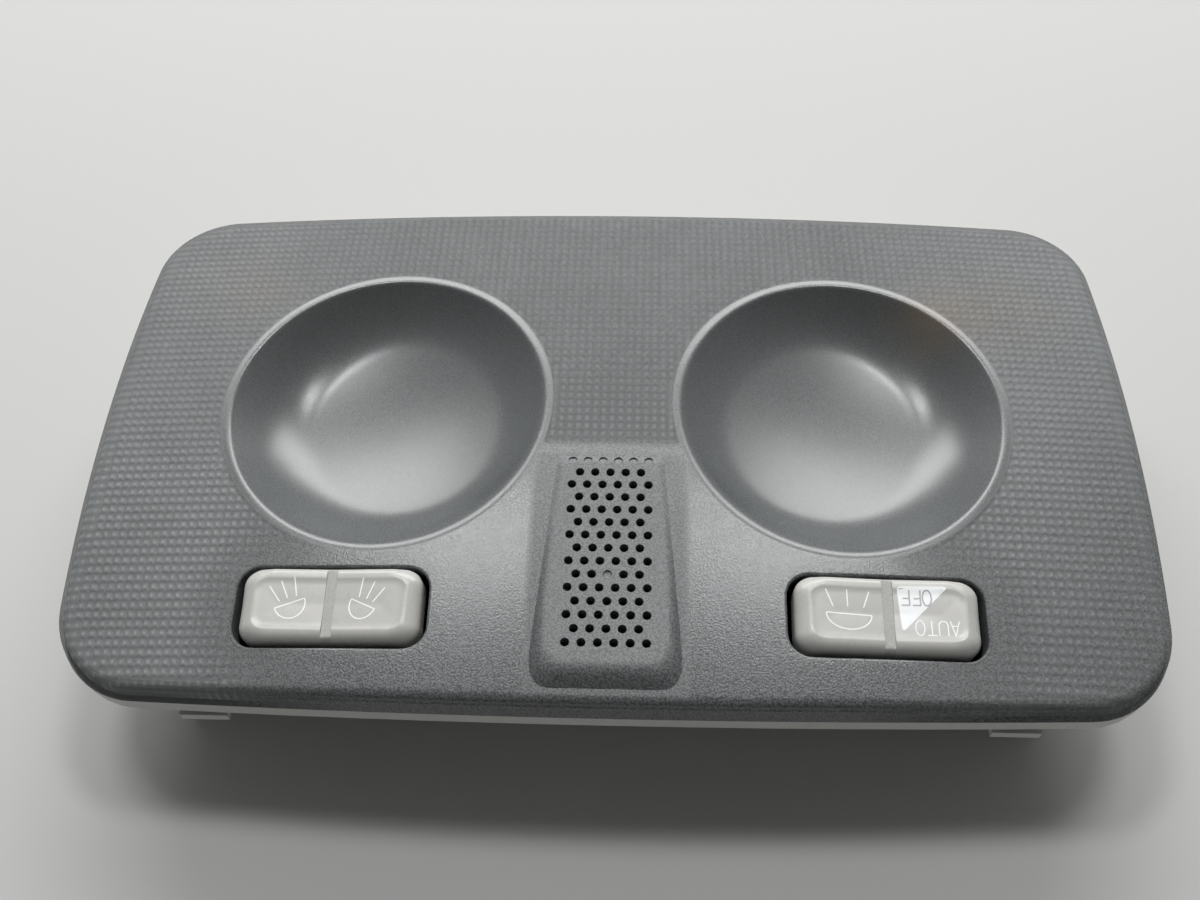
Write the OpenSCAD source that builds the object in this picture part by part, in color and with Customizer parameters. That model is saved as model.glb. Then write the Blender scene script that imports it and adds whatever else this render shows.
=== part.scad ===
// Overhead light of a car: a crowned, smoked cover over a light grey tray, with two
// round dishes, a microphone grille and two rocker switches, one for each lamp circuit.
// Z points out of the cover, and the origin is the middle of the back that the tray rests on.

/* [Panel] */
// Width of the cover
panel_w = 196; // [192:1:206]
// Height of the cover, seen from the front
panel_h = 110; // [108:1:116]
// Distance from the tray's back to the top of the crown
panel_t = 38; // [37.5:0.5:42]
// Radius of the crown across the width
crown_rx = 1250; // [1000:50:2000]
// Radius of the crown across the height
crown_ry = 400; // [360:10:600]
// Place of the crown's top above the middle
crown_y = 1.7; // [-2:0.1:4]
// Radius of the upper corners
corner_up = 15.6; // [12:0.2:18]
// Radius of the lower corners
corner_low = 16.4; // [12:0.2:20]
// Wall of the cover
lens_wall = 2.2; // [1.8:0.1:2.6]
// Depth of the cover's skirt below the face
skirt_h = 4.4; // [4:0.1:5]
// Height of the tray's rim, which shows below the skirt
rim_h = 3.4; // [2.4:0.1:4.4]

/* [Dishes] */
// Place of the dishes above the middle
dish_y = 3.9; // [2:0.1:6]
// Radius of a dish's rim
dish_r = 30; // [26:0.5:31]
// Slope of a dish's wall, in degrees
dish_slope = 40; // [32:1:48]
// Depth of a dish where it is deepest
dish_deep = 8.8; // [7:0.1:9.5]
// Radius to which the dish's floor is hollowed
floor_r = 105; // [80:5:160]
// How far outwards the floor's deepest place lies from the dish's middle
floor_out = 6.5; // [0:0.5:9]

/* [Grille] */
// Pitch of the holes along a row
hole_pitch = 2.75; // [2.5:0.05:2.8]
// Distance from row to row
row_pitch = 2.5; // [2.2:0.05:2.6]
// Diameter of a hole
hole_d = 1.45; // [1:0.05:1.7]
// Thickness of the grille
grille_wall = 1.8; // [1.4:0.1:2]

/* [Switches] */
// Distance of a switch from the cover's lower edge
key_up = 17.2; // [16.8:0.1:18]
// Length of a key
key_l = 31.5; // [29:0.5:33]
// Width of a key
key_w = 13.5; // [13:0.1:14]
// Gap at each end of a key
key_gap_l = 1.2; // [1.1:0.1:1.5]
// Gap along each side of a key
key_gap_w = 0.55; // [0.4:0.05:0.7]
// Height of a key's ends above the face
key_proud = 1.7; // [1.4:0.1:2]
// Radius of a pivot pin
pivot_r = 1.25; // [1:0.05:1.4]

/* [Bulbs] */
// Diameter of a bulb's glass
bulb_d = 10; // [9:0.5:10.5]
// Length of a bulb over its caps
bulb_l = 41; // [38:0.5:42]

/* [Hidden] */

// Clearances: pieces that seat, pieces that turn or slide, and pieces side by side
seat_gap = 0.1;
run_gap = 0.05;
side_gap = 0.3;

// Places along the width follow the panel
dish_x = 0.21786 * panel_w;
key_x = 0.24337 * panel_w;
tongue_x = 0.35816 * panel_w;
clip_x = 0.30612 * panel_w;

// The outline is four long arcs joined by four corner arcs
side_r = 700;
side_y = -8;
top_r = 5000;
low_r = 1550;
side_steps = 6;
corner_steps = 8;
long_steps = 12;
crown_steps = [0.82, 0.6, 0.38, 0.16];

// The cover's edge: a roll from the face down to a fine ridge, then a skirt that leans outwards
ridge_in = 0.8;
ridge_drop = 1.1;
roll_in = 2.6;
outer_edge = [
    [0, skirt_h], [ridge_in, ridge_drop], [ridge_in + 0.35, 0.62],
    [ridge_in + 0.9, 0.22], [roll_in, 0]
];
inner_edge = [[lens_wall, skirt_h], [lens_wall + 1.4, lens_wall + 0.6], [lens_wall + 2.6, lens_wall]];

// The microphone's island: half widths at its low and high ends, and where it starts and ends
isle_low_y = -panel_h / 2 + 3.5;
isle_high_y = -8.5;
isle_low_half = 12.8;
isle_high_half = 9.6;
isle_run = 3.2;
grille_y = -panel_h / 2 + 10.85;
grille_z = panel_t - 1.45;
grille_tilt = 2.6;
grille_rows = 15;
row_holes = 6;

// The switches' insides, measured from the face at the middle of a key
key_y = -panel_h / 2 + key_up;
key_corner = 3.2;
key_edge = [[0, 1.9], [0.67, 0.56], [2.3, 0]];
key_mid = 1.1;
cap_low = -3.6;
pivot_z = -6.6;
skirt_low = -9;
stem_r = 3.2;
stem_low = -12;
bore_top = -2.5;
plunger_r = 2;
tip_z = -16.6;
seesaw_l = 16;
seesaw_w = 5;
blade_t = 0.6;
seesaw_top = tip_z - 0.2;
seesaw_low = seesaw_top - blade_t;
contact_top = seesaw_low - 0.8;
frame_wall = 1.2;
frame_in_l = key_l / 2 + 1.65;
frame_in_w = key_w / 2 - 0.55;
frame_floor = -20.1;
frame_low = frame_floor - 1.4;
ear_top = -4.3;
frame_top = -5.9;
collar_wall = 1.3;
collar_low = -4;

// The tray
tray_side = panel_w / 2 - 15;
tray_low = -panel_h / 2 + 7.6;
tray_high = panel_h / 2 - 11;
tray_wall = 1.8;
tray_corner = 9;
slope_z = 14;
slope_in = 5.4;
recess = 3.4;
back_wall = 1.8;
floor_z = recess + back_wall;
rim_in = 0.2;
rib_t = 1.4;
chamber_wall = 1.4;
chamber_l = bulb_l + 8.4;
chamber_low = dish_y - 16;
chamber_high = dish_y + 16;
window_low = dish_y - 14;
window_high = dish_y + 14;
window_l = chamber_l - 2 * chamber_wall;

// The flap over the two windows
flap_t = 1.6;
flap_z = recess - flap_t - 0.7;
flap_l = 2 * dish_x + chamber_l + 1;
flap_low = window_low - 3;
hinge_y = window_high + 5.5;
hinge_z = flap_z + flap_t / 2;
hinge_pin = 0.75;
ear_t = 2.4;

// The connector's socket
socket_w = 24;
socket_h = 14;
socket_z = 5;
socket_deep = 8;
socket_wall = 1.2;
pin_z = 9.5;
pin_t = 1;
pin_pitch = 5;
strip_t = 0.6;
strip_w = 3;

// The tongues and clips that hold the light in its bracket
tongue_w = 8.4;
tongue_t = 2;
tongue_z = 21.5;
clip_w = 12;
clip_t = 0.6;

// The bulbs
cap_r = 4;
cap_l = 7.5;
glass_wall = 0.6;
clip_off = bulb_l / 2 - cap_l / 2;

// The microphone
mic_y = 14;
mic_r = 4.85;
mic_h = 4.5;
boot_wall = 1.6;
foam_top = -grille_wall - side_gap;
foam_t = 2.5;
board_z = -13.5;
board_t = 1.2;

smoke = [0.42, 0.44, 0.44];
light_grey = [0.74, 0.74, 0.72];
key_grey = [0.75, 0.74, 0.72];
dark_plastic = [0.13, 0.13, 0.14];
brass = [0.8, 0.65, 0.32];
steel = [0.68, 0.7, 0.72];

// Height of the crowned face over a place
function face_z(x, y) = panel_t - x * x / (2 * crown_rx) - (y - crown_y) * (y - crown_y) / (2 * crown_ry);

// Unit normal of the crowned face
function face_normal(x, y) = let (n = [x / crown_rx, (y - crown_y) / crown_ry, 1]) n / norm(n);

// Where two circles meet, on the side that turn gives
function meet(a, ra, b, rb, turn) =
    let (d = b - a, l = norm(d), t = (ra * ra - rb * rb + l * l) / (2 * l), h = sqrt(ra * ra - t * t))
    a + d * t / l + turn * h * [-d.y, d.x] / l;

function polar(c, r, a) = c + r * [cos(a), sin(a)];
function angle_of(v) = atan2(v.y, v.x);
function flip(p) = [-p.x, p.y];
function arc_points(c, r, a, b, n) = [for (i = [0:n - 1]) polar(c, r, a + (b - a) * i / n)];

side_c = [panel_w / 2 - side_r, side_y];
top_c = [0, panel_h / 2 - top_r];
low_c = [0, low_r - panel_h / 2];
up_c = meet(side_c, side_r - corner_up, top_c, top_r - corner_up, 1);
down_c = meet(side_c, side_r - corner_low, low_c, low_r - corner_low, -1);
up_a = angle_of(up_c - side_c);
up_b = angle_of(up_c - top_c);
down_a = angle_of(down_c - side_c);
down_b = angle_of(down_c - low_c);

// The cover's outline, moved inwards by an inset, as points that run anticlockwise
function outline(inset) = concat(
    arc_points(side_c, side_r - inset, down_a, up_a, side_steps),
    arc_points(up_c, corner_up - inset, up_a, up_b, corner_steps),
    arc_points(top_c, top_r - inset, up_b, 180 - up_b, long_steps),
    arc_points(flip(up_c), corner_up - inset, 180 - up_b, 180 - up_a, corner_steps),
    arc_points(flip(side_c), side_r - inset, 180 - up_a, 180 - down_a, side_steps),
    arc_points(flip(down_c), corner_low - inset, 180 - down_a, 180 - down_b, corner_steps),
    arc_points(low_c, low_r - inset, 180 - down_b, 360 + down_b, long_steps),
    arc_points(down_c, corner_low - inset, 360 + down_b, 360 + down_a, corner_steps)
);

function lift(points, drop) = [for (p = points) [p.x, p.y, face_z(p.x, p.y) - drop]];

// Corners of a rounded rectangle between two corners, as points that run anticlockwise
function round_rect(x0, y0, x1, y1, r) = concat(
    arc_points([x1 - r, y0 + r], r, -90, 0, 6), [[x1, y0 + r]],
    arc_points([x1 - r, y1 - r], r, 0, 90, 6), [[x1 - r, y1]],
    arc_points([x0 + r, y1 - r], r, 90, 180, 6), [[x0, y1 - r]],
    arc_points([x0 + r, y0 + r], r, 180, 270, 6), [[x0 + r, y0]]
);

// A block from the level low up to the crowned face. Each pair of edge is an inset of the
// outline and a drop below the face, and the last drop holds over the middle.
module crown_block(edge, low) {
    last = edge[len(edge) - 1];
    top_ring = outline(last[0]);
    n = len(top_ring);
    rings = concat(
        [[for (p = outline(edge[0][0])) [p.x, p.y, low]]],
        [for (e = edge) lift(outline(e[0]), e[1])],
        [for (s = crown_steps) lift([for (p = top_ring) p * s], last[1])]
    );
    m = len(rings);
    points = concat([for (ring = rings) each ring], [[0, 0, face_z(0, 0) - last[1]]]);
    walls = [for (k = [0:m - 2], i = [0:n - 1]) let (a = k * n + i, b = k * n + (i + 1) % n)
        each [[a, a + n, b + n], [a, b + n, b]]];
    cap = [for (i = [0:n - 1]) [(m - 1) * n + i, m * n, (m - 1) * n + (i + 1) % n]];
    polyhedron(points, concat([[for (i = [0:n - 1]) i]], walls, cap));
}

module block(x0, x1, y0, y1, z0, z1) {
    translate([x0, y0, z0]) cube([x1 - x0, y1 - y0, z1 - z0]);
}

module plate(points, z0, z1) {
    translate([0, 0, z0]) linear_extrude(height = z1 - z0) polygon(points);
}

// Places its children at a dish, with Z along the face's normal and zero at the rim's plane
module at_dish(side) {
    n = face_normal(dish_x, dish_y);
    rim_sag = dish_r * dish_r / 4 * (1 / crown_rx + 1 / crown_ry);
    translate([side * dish_x, dish_y, face_z(dish_x, dish_y) - rim_sag])
        rotate([-asin(n.y), side * asin(n.x), 0]) children();
}

// The space of a dish, grown by more: a cone for its wall, cut off by the sphere of its floor,
// which is deepest towards the outer side
module bowl(side, more) {
    low = dish_deep + more + 1;
    high = 4;
    grown_r = dish_r + more / sin(dish_slope);
    at_dish(side) intersection() {
        translate([0, 0, -low])
            cylinder(r1 = grown_r - low / tan(dish_slope), r2 = grown_r + high / tan(dish_slope), h = low + high, $fn = 120);
        translate([side * floor_out, 0, floor_r - dish_deep]) sphere(r = floor_r + more, $fn = 240);
    }
}

// Places its children at a switch, with Z along the face's normal and zero on the face
module at_switch(side) {
    n = face_normal(key_x, key_y);
    translate([side * key_x, key_y, face_z(key_x, key_y)])
        rotate([-asin(n.y), side * asin(n.x), 0]) children();
}

// Places its children on the grille's plane, at the middle of its lowest row
module at_grille() {
    translate([0, grille_y, grille_z]) rotate([grille_tilt, 0, 0]) children();
}

function key_rect(grow_l, grow_w, r) =
    round_rect(-key_l / 2 - grow_l, -key_w / 2 - grow_w, key_l / 2 + grow_l, key_w / 2 + grow_w, r);

// The island's block, made smaller by a wall
module isle(wall, sink) {
    low_half = isle_low_half - wall;
    high_half = isle_high_half - wall;
    top_low = low_half - isle_run;
    top_high = high_half - isle_run / 2;
    hull() {
        for (s = [-1, 1]) {
            translate([s * (low_half - 4), isle_low_y + wall + 4, face_z(low_half, isle_low_y) - 1.5 - sink])
                cylinder(r = 4, h = 1.5, $fn = 32);
            translate([s * (high_half - 2), isle_high_y - wall - 2, face_z(high_half, isle_high_y) - 1.5 - sink])
                cylinder(r = 2, h = 1.5, $fn = 32);
            at_grille() translate([s * (top_low - 2.2), -0.7, -1 - sink]) cylinder(r1 = 2.6, r2 = 2.2, h = 1, $fn = 32);
            at_grille() translate([s * (top_high - 1.2), 32.6 - wall, -1 - sink]) cylinder(r = 1.2, h = 1, $fn = 32);
        }
    }
}

module grille_holes() {
    for (i = [0:grille_rows - 1]) {
        count = row_holes - i % 2;
        deep = (i == grille_rows - 1) ? 0.8 : 6;
        for (j = [0:count - 1]) {
            at_grille() translate([(j - (count - 1) / 2) * hole_pitch, i * row_pitch, -deep])
                cylinder(d = hole_d, h = deep + 3, $fn = 24);
        }
    }
}

module lens() {
    color(smoke) difference() {
        union() {
            difference() {
                crown_block(outer_edge, floor_z);
                crown_block(inner_edge, floor_z - 1);
                crown_block([[-6, skirt_h]], floor_z - 2);
            }
            intersection() {
                union() {
                    bowl(-1, lens_wall);
                    bowl(1, lens_wall);
                }
                crown_block([[lens_wall + 4, lens_wall / 2]], floor_z);
            }
            isle(0, 0);
            for (s = [-1, 1]) {
                at_switch(s) plate(key_rect(key_gap_l + collar_wall, key_gap_w + collar_wall, 5.5), collar_low, -1);
            }
        }
        bowl(-1, 0);
        bowl(1, 0);
        isle(lens_wall, grille_wall);
        isle(lens_wall, grille_wall + 1.4);
        for (s = [-1, 1]) {
            at_switch(s) plate(key_rect(key_gap_l, key_gap_w, 4.2), -10, 10);
        }
        grille_holes();
    }
}

// The back of a dish at its deepest, and the bulb's axis below it
dish_back = face_z(dish_x, dish_y) - dish_r * dish_r / 4 * (1 / crown_rx + 1 / crown_ry) - dish_deep - lens_wall;
bulb_z = dish_back - bulb_d / 2 - 2.6;

// The ring of walls round one bulb, whose top edge follows the dish
module chamber(side) {
    x = side * dish_x;
    difference() {
        block(x - chamber_l / 2, x + chamber_l / 2, chamber_low, chamber_high, recess, panel_t - 6);
        block(x - window_l / 2, x + window_l / 2, chamber_low + chamber_wall, chamber_high - chamber_wall,
            0, panel_t);
        bowl(side, lens_wall + side_gap);
    }
}

// The space in front of the tray's low wall, which slopes in towards the back, moved in by more
module front_slope(more) {
    y0 = tray_low + more;
    translate([-panel_w / 2, 0, 0]) rotate([90, 0, 90]) linear_extrude(height = panel_w)
        polygon([[tray_low - 5, slope_z], [y0, slope_z], [y0 + 1.2 * slope_in, -0.2 * slope_z],
            [tray_low - 5, -0.2 * slope_z]]);
}

module housing_shell() {
    difference() {
        intersection() {
            crown_block([[-6, skirt_h + seat_gap]], -1);
            union() {
                plate(round_rect(-tray_side, tray_low, tray_side, tray_high, tray_corner), 0, panel_t);
                difference() {
                    plate(outline(rim_in), 0, panel_t);
                    crown_block([[-6, skirt_h + seat_gap + rim_h]], -1);
                }
            }
        }
        front_slope(0);
        difference() {
            for (z = [[floor_z, panel_t], [-1, recess]]) {
                plate(round_rect(-tray_side + tray_wall, tray_low + tray_wall, tray_side - tray_wall,
                    tray_high - tray_wall, tray_corner - tray_wall), z[0], z[1]);
            }
            front_slope(tray_wall * 1.07);
        }
    }
}

module socket() {
    y0 = tray_high - 0.5;
    y1 = tray_high + socket_deep;
    difference() {
        block(-socket_w / 2, socket_w / 2, y0, y1, socket_z, socket_z + socket_h);
        block(-socket_w / 2 + socket_wall, socket_w / 2 - socket_wall, tray_high, y1 + 1,
            socket_z + socket_wall, socket_z + socket_h - socket_wall);
    }
}

module hinge_ears() {
    for (s = [-1, 1]) {
        x = s * (flap_l / 2 + side_gap + ear_t / 2);
        difference() {
            block(x - ear_t / 2, x + ear_t / 2, hinge_y - 2, hinge_y + 2, hinge_z - 1.5, recess + 0.5);
            translate([x - ear_t, hinge_y, hinge_z]) rotate([0, 90, 0])
                cylinder(r = hinge_pin + run_gap, h = 2 * ear_t, $fn = 32);
        }
    }
}

// Posts that carry the switch frames, cut to the frames' slope
module switch_posts() {
    for (s = [-1, 1]) {
        difference() {
            for (dx = [-13, 13]) {
                block(s * key_x + dx - 1.5, s * key_x + dx + 1.5, key_y - 3, key_y + 6, recess, panel_t - 12);
            }
            at_switch(s) block(-30, 30, -20, 20, frame_low - seat_gap, 20);
        }
    }
}

module board_posts() {
    difference() {
        for (y = [mic_y - 9, mic_y + 9]) {
            translate([0, grille_y + y, recess]) cylinder(r = 2.4, h = panel_t - 14, $fn = 32);
        }
        at_grille() block(-20, 20, -10, 40, board_z - seat_gap, 20);
    }
}

module rear_housing() {
    color(light_grey) difference() {
        union() {
            housing_shell();
            chamber(-1);
            chamber(1);
            socket();
            hinge_ears();
            switch_posts();
            board_posts();
            for (s = [-1, 1]) {
                block(s * tongue_x - tongue_w / 2, s * tongue_x + tongue_w / 2, -panel_h / 2 + 1.4,
                    tray_low + 0.5, tongue_z, tongue_z + tongue_t);
            }
        }
        for (s = [-1, 1]) {
            block(s * dish_x - window_l / 2, s * dish_x + window_l / 2, window_low, window_high, -1, floor_z + 1);
            block(s * clip_x - clip_w / 2 - side_gap, s * clip_x + clip_w / 2 + side_gap,
                tray_high - tray_wall - 1, tray_high + 1, -1, clip_t + 0.4);
        }
        for (i = [-1.5:1.5]) {
            block(i * pin_pitch - pin_t / 2 - seat_gap, i * pin_pitch + pin_t / 2 + seat_gap,
                tray_high - tray_wall - 1, tray_high + 1, pin_z - strip_t / 2 - seat_gap,
                pin_z + strip_t / 2 + seat_gap);
        }
    }
}

module bulb_flap() {
    color(light_grey) union() {
        block(-flap_l / 2, flap_l / 2, flap_low, hinge_y, flap_z, flap_z + flap_t);
        translate([-flap_l / 2, hinge_y, hinge_z]) rotate([0, 90, 0]) cylinder(d = flap_t, h = flap_l, $fn = 32);
        translate([-flap_l / 2 - side_gap - ear_t, hinge_y, hinge_z]) rotate([0, 90, 0])
            cylinder(r = hinge_pin, h = flap_l + 2 * (side_gap + ear_t), $fn = 32);
        for (s = [-1, 1]) {
            difference() {
                block(s * dish_x - window_l / 2 + 1, s * dish_x + window_l / 2 - 1, window_low + 3,
                    window_high - 2, flap_z + flap_t - 0.1, floor_z + 1);
                block(s * dish_x - window_l / 2 + 2.2, s * dish_x + window_l / 2 - 2.2, window_low + 4.2,
                    window_high - 3.2, flap_z + flap_t, floor_z + 2);
            }
        }
    }
}

// Half of a key's cap: its top slopes from the raised end down to the middle, and each step of
// its rounded edge is an inset and a drop below the top
module cap_half(side) {
    hull() {
        for (e = key_edge, t = [-1, 1]) {
            translate([side * (key_l / 2 - key_corner), t * (key_w / 2 - key_corner), cap_low])
                cylinder(r = key_corner - e[0], h = key_proud - e[1] - cap_low, $fn = 32);
        }
        for (e = key_edge) {
            translate([side * 0.05 - 0.05, -key_w / 2 + e[0], cap_low])
                cube([0.1, key_w - 2 * e[0], key_mid - e[1] - cap_low]);
        }
    }
}

module rocker(side) {
    skirt_l = key_l / 2 - 1.25;
    skirt_w = key_w / 2 - 0.75;
    color(key_grey) at_switch(side) difference() {
        union() {
            difference() {
                union() {
                    cap_half(-1);
                    cap_half(1);
                    block(-skirt_l, skirt_l, -skirt_w, skirt_w, skirt_low, cap_low + 0.1);
                }
                block(-skirt_l + 1.2, skirt_l - 1.2, -skirt_w + 1.2, skirt_w - 1.2, skirt_low - 1, -0.6);
            }
            translate([0, 0, stem_low]) cylinder(r = stem_r, h = -stem_low - 0.4, $fn = 48);
            for (t = [-1, 1]) {
                translate([0, t * skirt_w, pivot_z]) rotate([-90 * t, 0, 0])
                    cylinder(r = pivot_r, h = frame_wall + 0.2, $fn = 48);
            }
        }
        translate([0, 0, stem_low - 1]) cylinder(r = plunger_r + run_gap, h = bore_top - stem_low + 1, $fn = 48);
        block(-1, 1, -key_w, key_w, key_mid - 0.25, key_mid + 2);
    }
}

module plunger(side) {
    color(dark_plastic) at_switch(side) {
        translate([0, 0, tip_z + plunger_r]) sphere(r = plunger_r, $fn = 48);
        translate([0, 0, tip_z + plunger_r]) cylinder(r = plunger_r, h = 6.6, $fn = 48);
    }
}

// A coil spring, swept as a six-sided wire along a helix
module plunger_spring(side) {
    wire = 0.18;
    coil = plunger_r - 0.6;
    z0 = tip_z + plunger_r + 6.6 + 0.25;
    rise = bore_top - z0 - 0.25;
    steps = 70;
    turns = 5;
    sides = 6;
    ring_pts = [for (k = [0:steps]) let (a = 360 * turns * k / steps, z = z0 + rise * k / steps)
        each [for (j = [0:sides - 1]) let (b = 360 * j / sides, r = coil + wire * cos(b))
            [r * cos(a), r * sin(a), z + wire * sin(b)]]];
    walls = [for (k = [0:steps - 1], j = [0:sides - 1])
        let (a = k * sides + j, b = k * sides + (j + 1) % sides)
        each [[a, b, b + sides], [a, b + sides, a + sides]]];
    first = [for (j = [0:sides - 1]) sides - 1 - j];
    last = [for (j = [0:sides - 1]) steps * sides + j];
    color(steel) at_switch(side) polyhedron(ring_pts, concat([first, last], walls));
}

module seesaw(side) {
    color(brass) at_switch(side) union() {
        block(-seesaw_l / 2, seesaw_l / 2, -seesaw_w / 2, seesaw_w / 2, seesaw_low, seesaw_top);
        for (s = [-1, 1]) {
            translate([s * (seesaw_l / 2 - 1.2), 0, seesaw_low - 0.15]) cylinder(r = 0.9, h = 0.3, $fn = 32);
        }
    }
}

module switch_frame(side) {
    color(dark_plastic) at_switch(side) difference() {
        union() {
            block(-frame_in_l - frame_wall, frame_in_l + frame_wall, -frame_in_w - frame_wall,
                frame_in_w + frame_wall, frame_low, frame_top);
            block(-4, 4, -frame_in_w - frame_wall, frame_in_w + frame_wall, frame_low, ear_top);
        }
        block(-frame_in_l, frame_in_l, -frame_in_w, frame_in_w, frame_floor, 0);
        translate([0, frame_in_w + frame_wall + 1, pivot_z]) rotate([90, 0, 0])
            cylinder(r = pivot_r + run_gap, h = 2 * (frame_in_w + frame_wall + 1), $fn = 48);
    }
}

module fulcrum(side) {
    color(brass) at_switch(side) translate([0, seesaw_w / 2, 0]) rotate([90, 0, 0])
        linear_extrude(height = seesaw_w)
        polygon([
            [-3, frame_floor + seat_gap], [3, frame_floor + seat_gap], [3, frame_floor + blade_t],
            [0.9, frame_floor + blade_t], [0, seesaw_low - seat_gap], [-0.9, frame_floor + blade_t],
            [-3, frame_floor + blade_t]
        ]);
}

module outer_contacts(side) {
    color(brass) at_switch(side) for (s = [-1, 1]) {
        block(s * 8 - 3, s * 8 + 3, -seesaw_w / 2, seesaw_w / 2, frame_floor + seat_gap, frame_floor + blade_t);
        translate([s * (seesaw_l / 2 - 1.2), 0, frame_floor + blade_t - 0.1])
            cylinder(r = 1.3, h = contact_top - frame_floor - blade_t + 0.1, $fn = 32);
    }
}

// Places its children at a bulb's middle, with Z along the bulb
module at_bulb(side) {
    translate([side * dish_x, dish_y, bulb_z]) rotate([0, 90, 0]) children();
}

module bulb_glass(side) {
    body = bulb_l / 2 - cap_l - 2.2;
    color([0.9, 0.93, 0.95, 0.4]) at_bulb(side) difference() {
        union() {
            translate([0, 0, -body]) cylinder(d = bulb_d, h = 2 * body, $fn = 64);
            for (s = [0, 180]) {
                rotate([s, 0, 0]) translate([0, 0, body])
                    cylinder(r1 = bulb_d / 2, r2 = cap_r - 0.8, h = 2, $fn = 64);
            }
        }
        translate([0, 0, -body]) cylinder(d = bulb_d - 2 * glass_wall, h = 2 * body, $fn = 64);
    }
}

module bulb_caps(side) {
    color(steel) at_bulb(side) for (s = [0, 180]) {
        rotate([s, 0, 0]) translate([0, 0, bulb_l / 2 - cap_l - 0.15]) {
            cylinder(r = cap_r, h = cap_l - 2.5, $fn = 64);
            translate([0, 0, cap_l - 2.5]) cylinder(r1 = cap_r, r2 = 1.4, h = 2.5, $fn = 64);
        }
    }
}

module filament(side) {
    body = bulb_l / 2 - cap_l - 2.2;
    color([0.35, 0.35, 0.37]) at_bulb(side) {
        translate([0, 0, -body + 0.15]) cylinder(r = 0.2, h = 2 * body - 0.3, $fn = 24);
        translate([0, 0, -5]) cylinder(r = 0.45, h = 10, $fn = 24);
    }
}

// Sprung arches over the bulb's caps, open towards the back, with a tab to the chamber's end wall
module bulb_clips(side) {
    inner = cap_r + seat_gap;
    outer = inner + 0.5;
    color(brass) for (s = [-1, 1]) {
        end_x = side * dish_x + s * (window_l / 2 - seat_gap);
        arch_x = side * dish_x + s * clip_off;
        difference() {
            union() {
                translate([arch_x - 2.5, dish_y, bulb_z]) rotate([0, 90, 0]) cylinder(r = outer, h = 5, $fn = 64);
                block(min(end_x, arch_x), max(end_x, arch_x), dish_y - 2, dish_y + 2, bulb_z + inner, bulb_z + outer);
                block(min(end_x, end_x - s * 0.5), max(end_x, end_x - s * 0.5), dish_y - 2, dish_y + 2,
                    floor_z + 1, bulb_z + outer);
            }
            translate([arch_x - 3, dish_y, bulb_z]) rotate([0, 90, 0]) cylinder(r = inner, h = 6, $fn = 64);
            block(arch_x - 2.6, arch_x + 2.6, dish_y - 3, dish_y + 3, bulb_z - 2 * outer, bulb_z);
        }
    }
}

// One strip of the wiring: from its connector pin down to the floor, then along a route
module bus(pin, route) {
    x = pin * pin_pitch;
    z0 = floor_z + seat_gap;
    y_in = tray_high - tray_wall - 1.5;
    color(brass) union() {
        block(x - pin_t / 2, x + pin_t / 2, y_in, tray_high + socket_deep - 2, pin_z - strip_t / 2, pin_z + strip_t / 2);
        block(x - pin_t / 2, x + pin_t / 2, y_in, y_in + strip_t, z0, pin_z);
        for (i = [0:len(route) - 2]) {
            a = route[i];
            b = route[i + 1];
            block(min(a.x, b.x) - strip_w / 2, max(a.x, b.x) + strip_w / 2, min(a.y, b.y) - strip_w / 2,
                max(a.y, b.y) + strip_w / 2, z0, z0 + strip_t);
        }
    }
}

bus_in = tray_high - tray_wall - 2;
switch_bus_y = chamber_low - 3;

// Spring steel folded over the tray's edge, with a bump that snaps into the bracket
module spring_clip(side) {
    y0 = tray_high;
    color(steel) translate([side * clip_x - clip_w / 2, 0, 0]) rotate([90, 0, 90]) linear_extrude(height = clip_w)
        polygon([
            [y0 - tray_wall - seat_gap - clip_t, 3], [y0 - tray_wall - seat_gap - clip_t, 0.3],
            [y0 + seat_gap + clip_t, 0.3], [y0 + seat_gap + clip_t, 5], [y0 + 4.6, 10], [y0 + 1.2, 17],
            [y0 + 2.2, 18.5], [y0 + 1.6, 18.9], [y0 + 0.5, 17], [y0 + 3.8, 10], [y0 + seat_gap, 5.3],
            [y0 + seat_gap, 0.3 + clip_t], [y0 - tray_wall - seat_gap, 0.3 + clip_t],
            [y0 - tray_wall - seat_gap, 3]
        ]);
}

module grille_foam() {
    color(dark_plastic) at_grille()
        plate(round_rect(-6.4, -1.5, 6.4, 30, 2), foam_top - foam_t, foam_top);
}

module mic_boot() {
    top = foam_top - foam_t - seat_gap;
    color([0.1, 0.1, 0.1]) at_grille() translate([0, mic_y, 0]) difference() {
        translate([0, 0, board_z + board_t + seat_gap])
            cylinder(r = mic_r + boot_wall, h = top - board_z - board_t - seat_gap, $fn = 64);
        translate([0, 0, top - mic_h - 1]) cylinder(r = mic_r, h = mic_h + 2, $fn = 64);
    }
}

module mic_capsule() {
    top = foam_top - foam_t - seat_gap - 0.5;
    color(steel) at_grille() translate([0, mic_y, top - mic_h]) difference() {
        cylinder(r = mic_r - run_gap, h = mic_h, $fn = 64);
        translate([0, 0, mic_h - 0.4]) cylinder(r = mic_r - 1, h = 1, $fn = 64);
    }
}

module mic_board() {
    color([0.12, 0.35, 0.2]) at_grille()
        plate(round_rect(-8, mic_y - 12, 8, mic_y + 12, 1), board_z, board_z + board_t);
}

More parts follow.
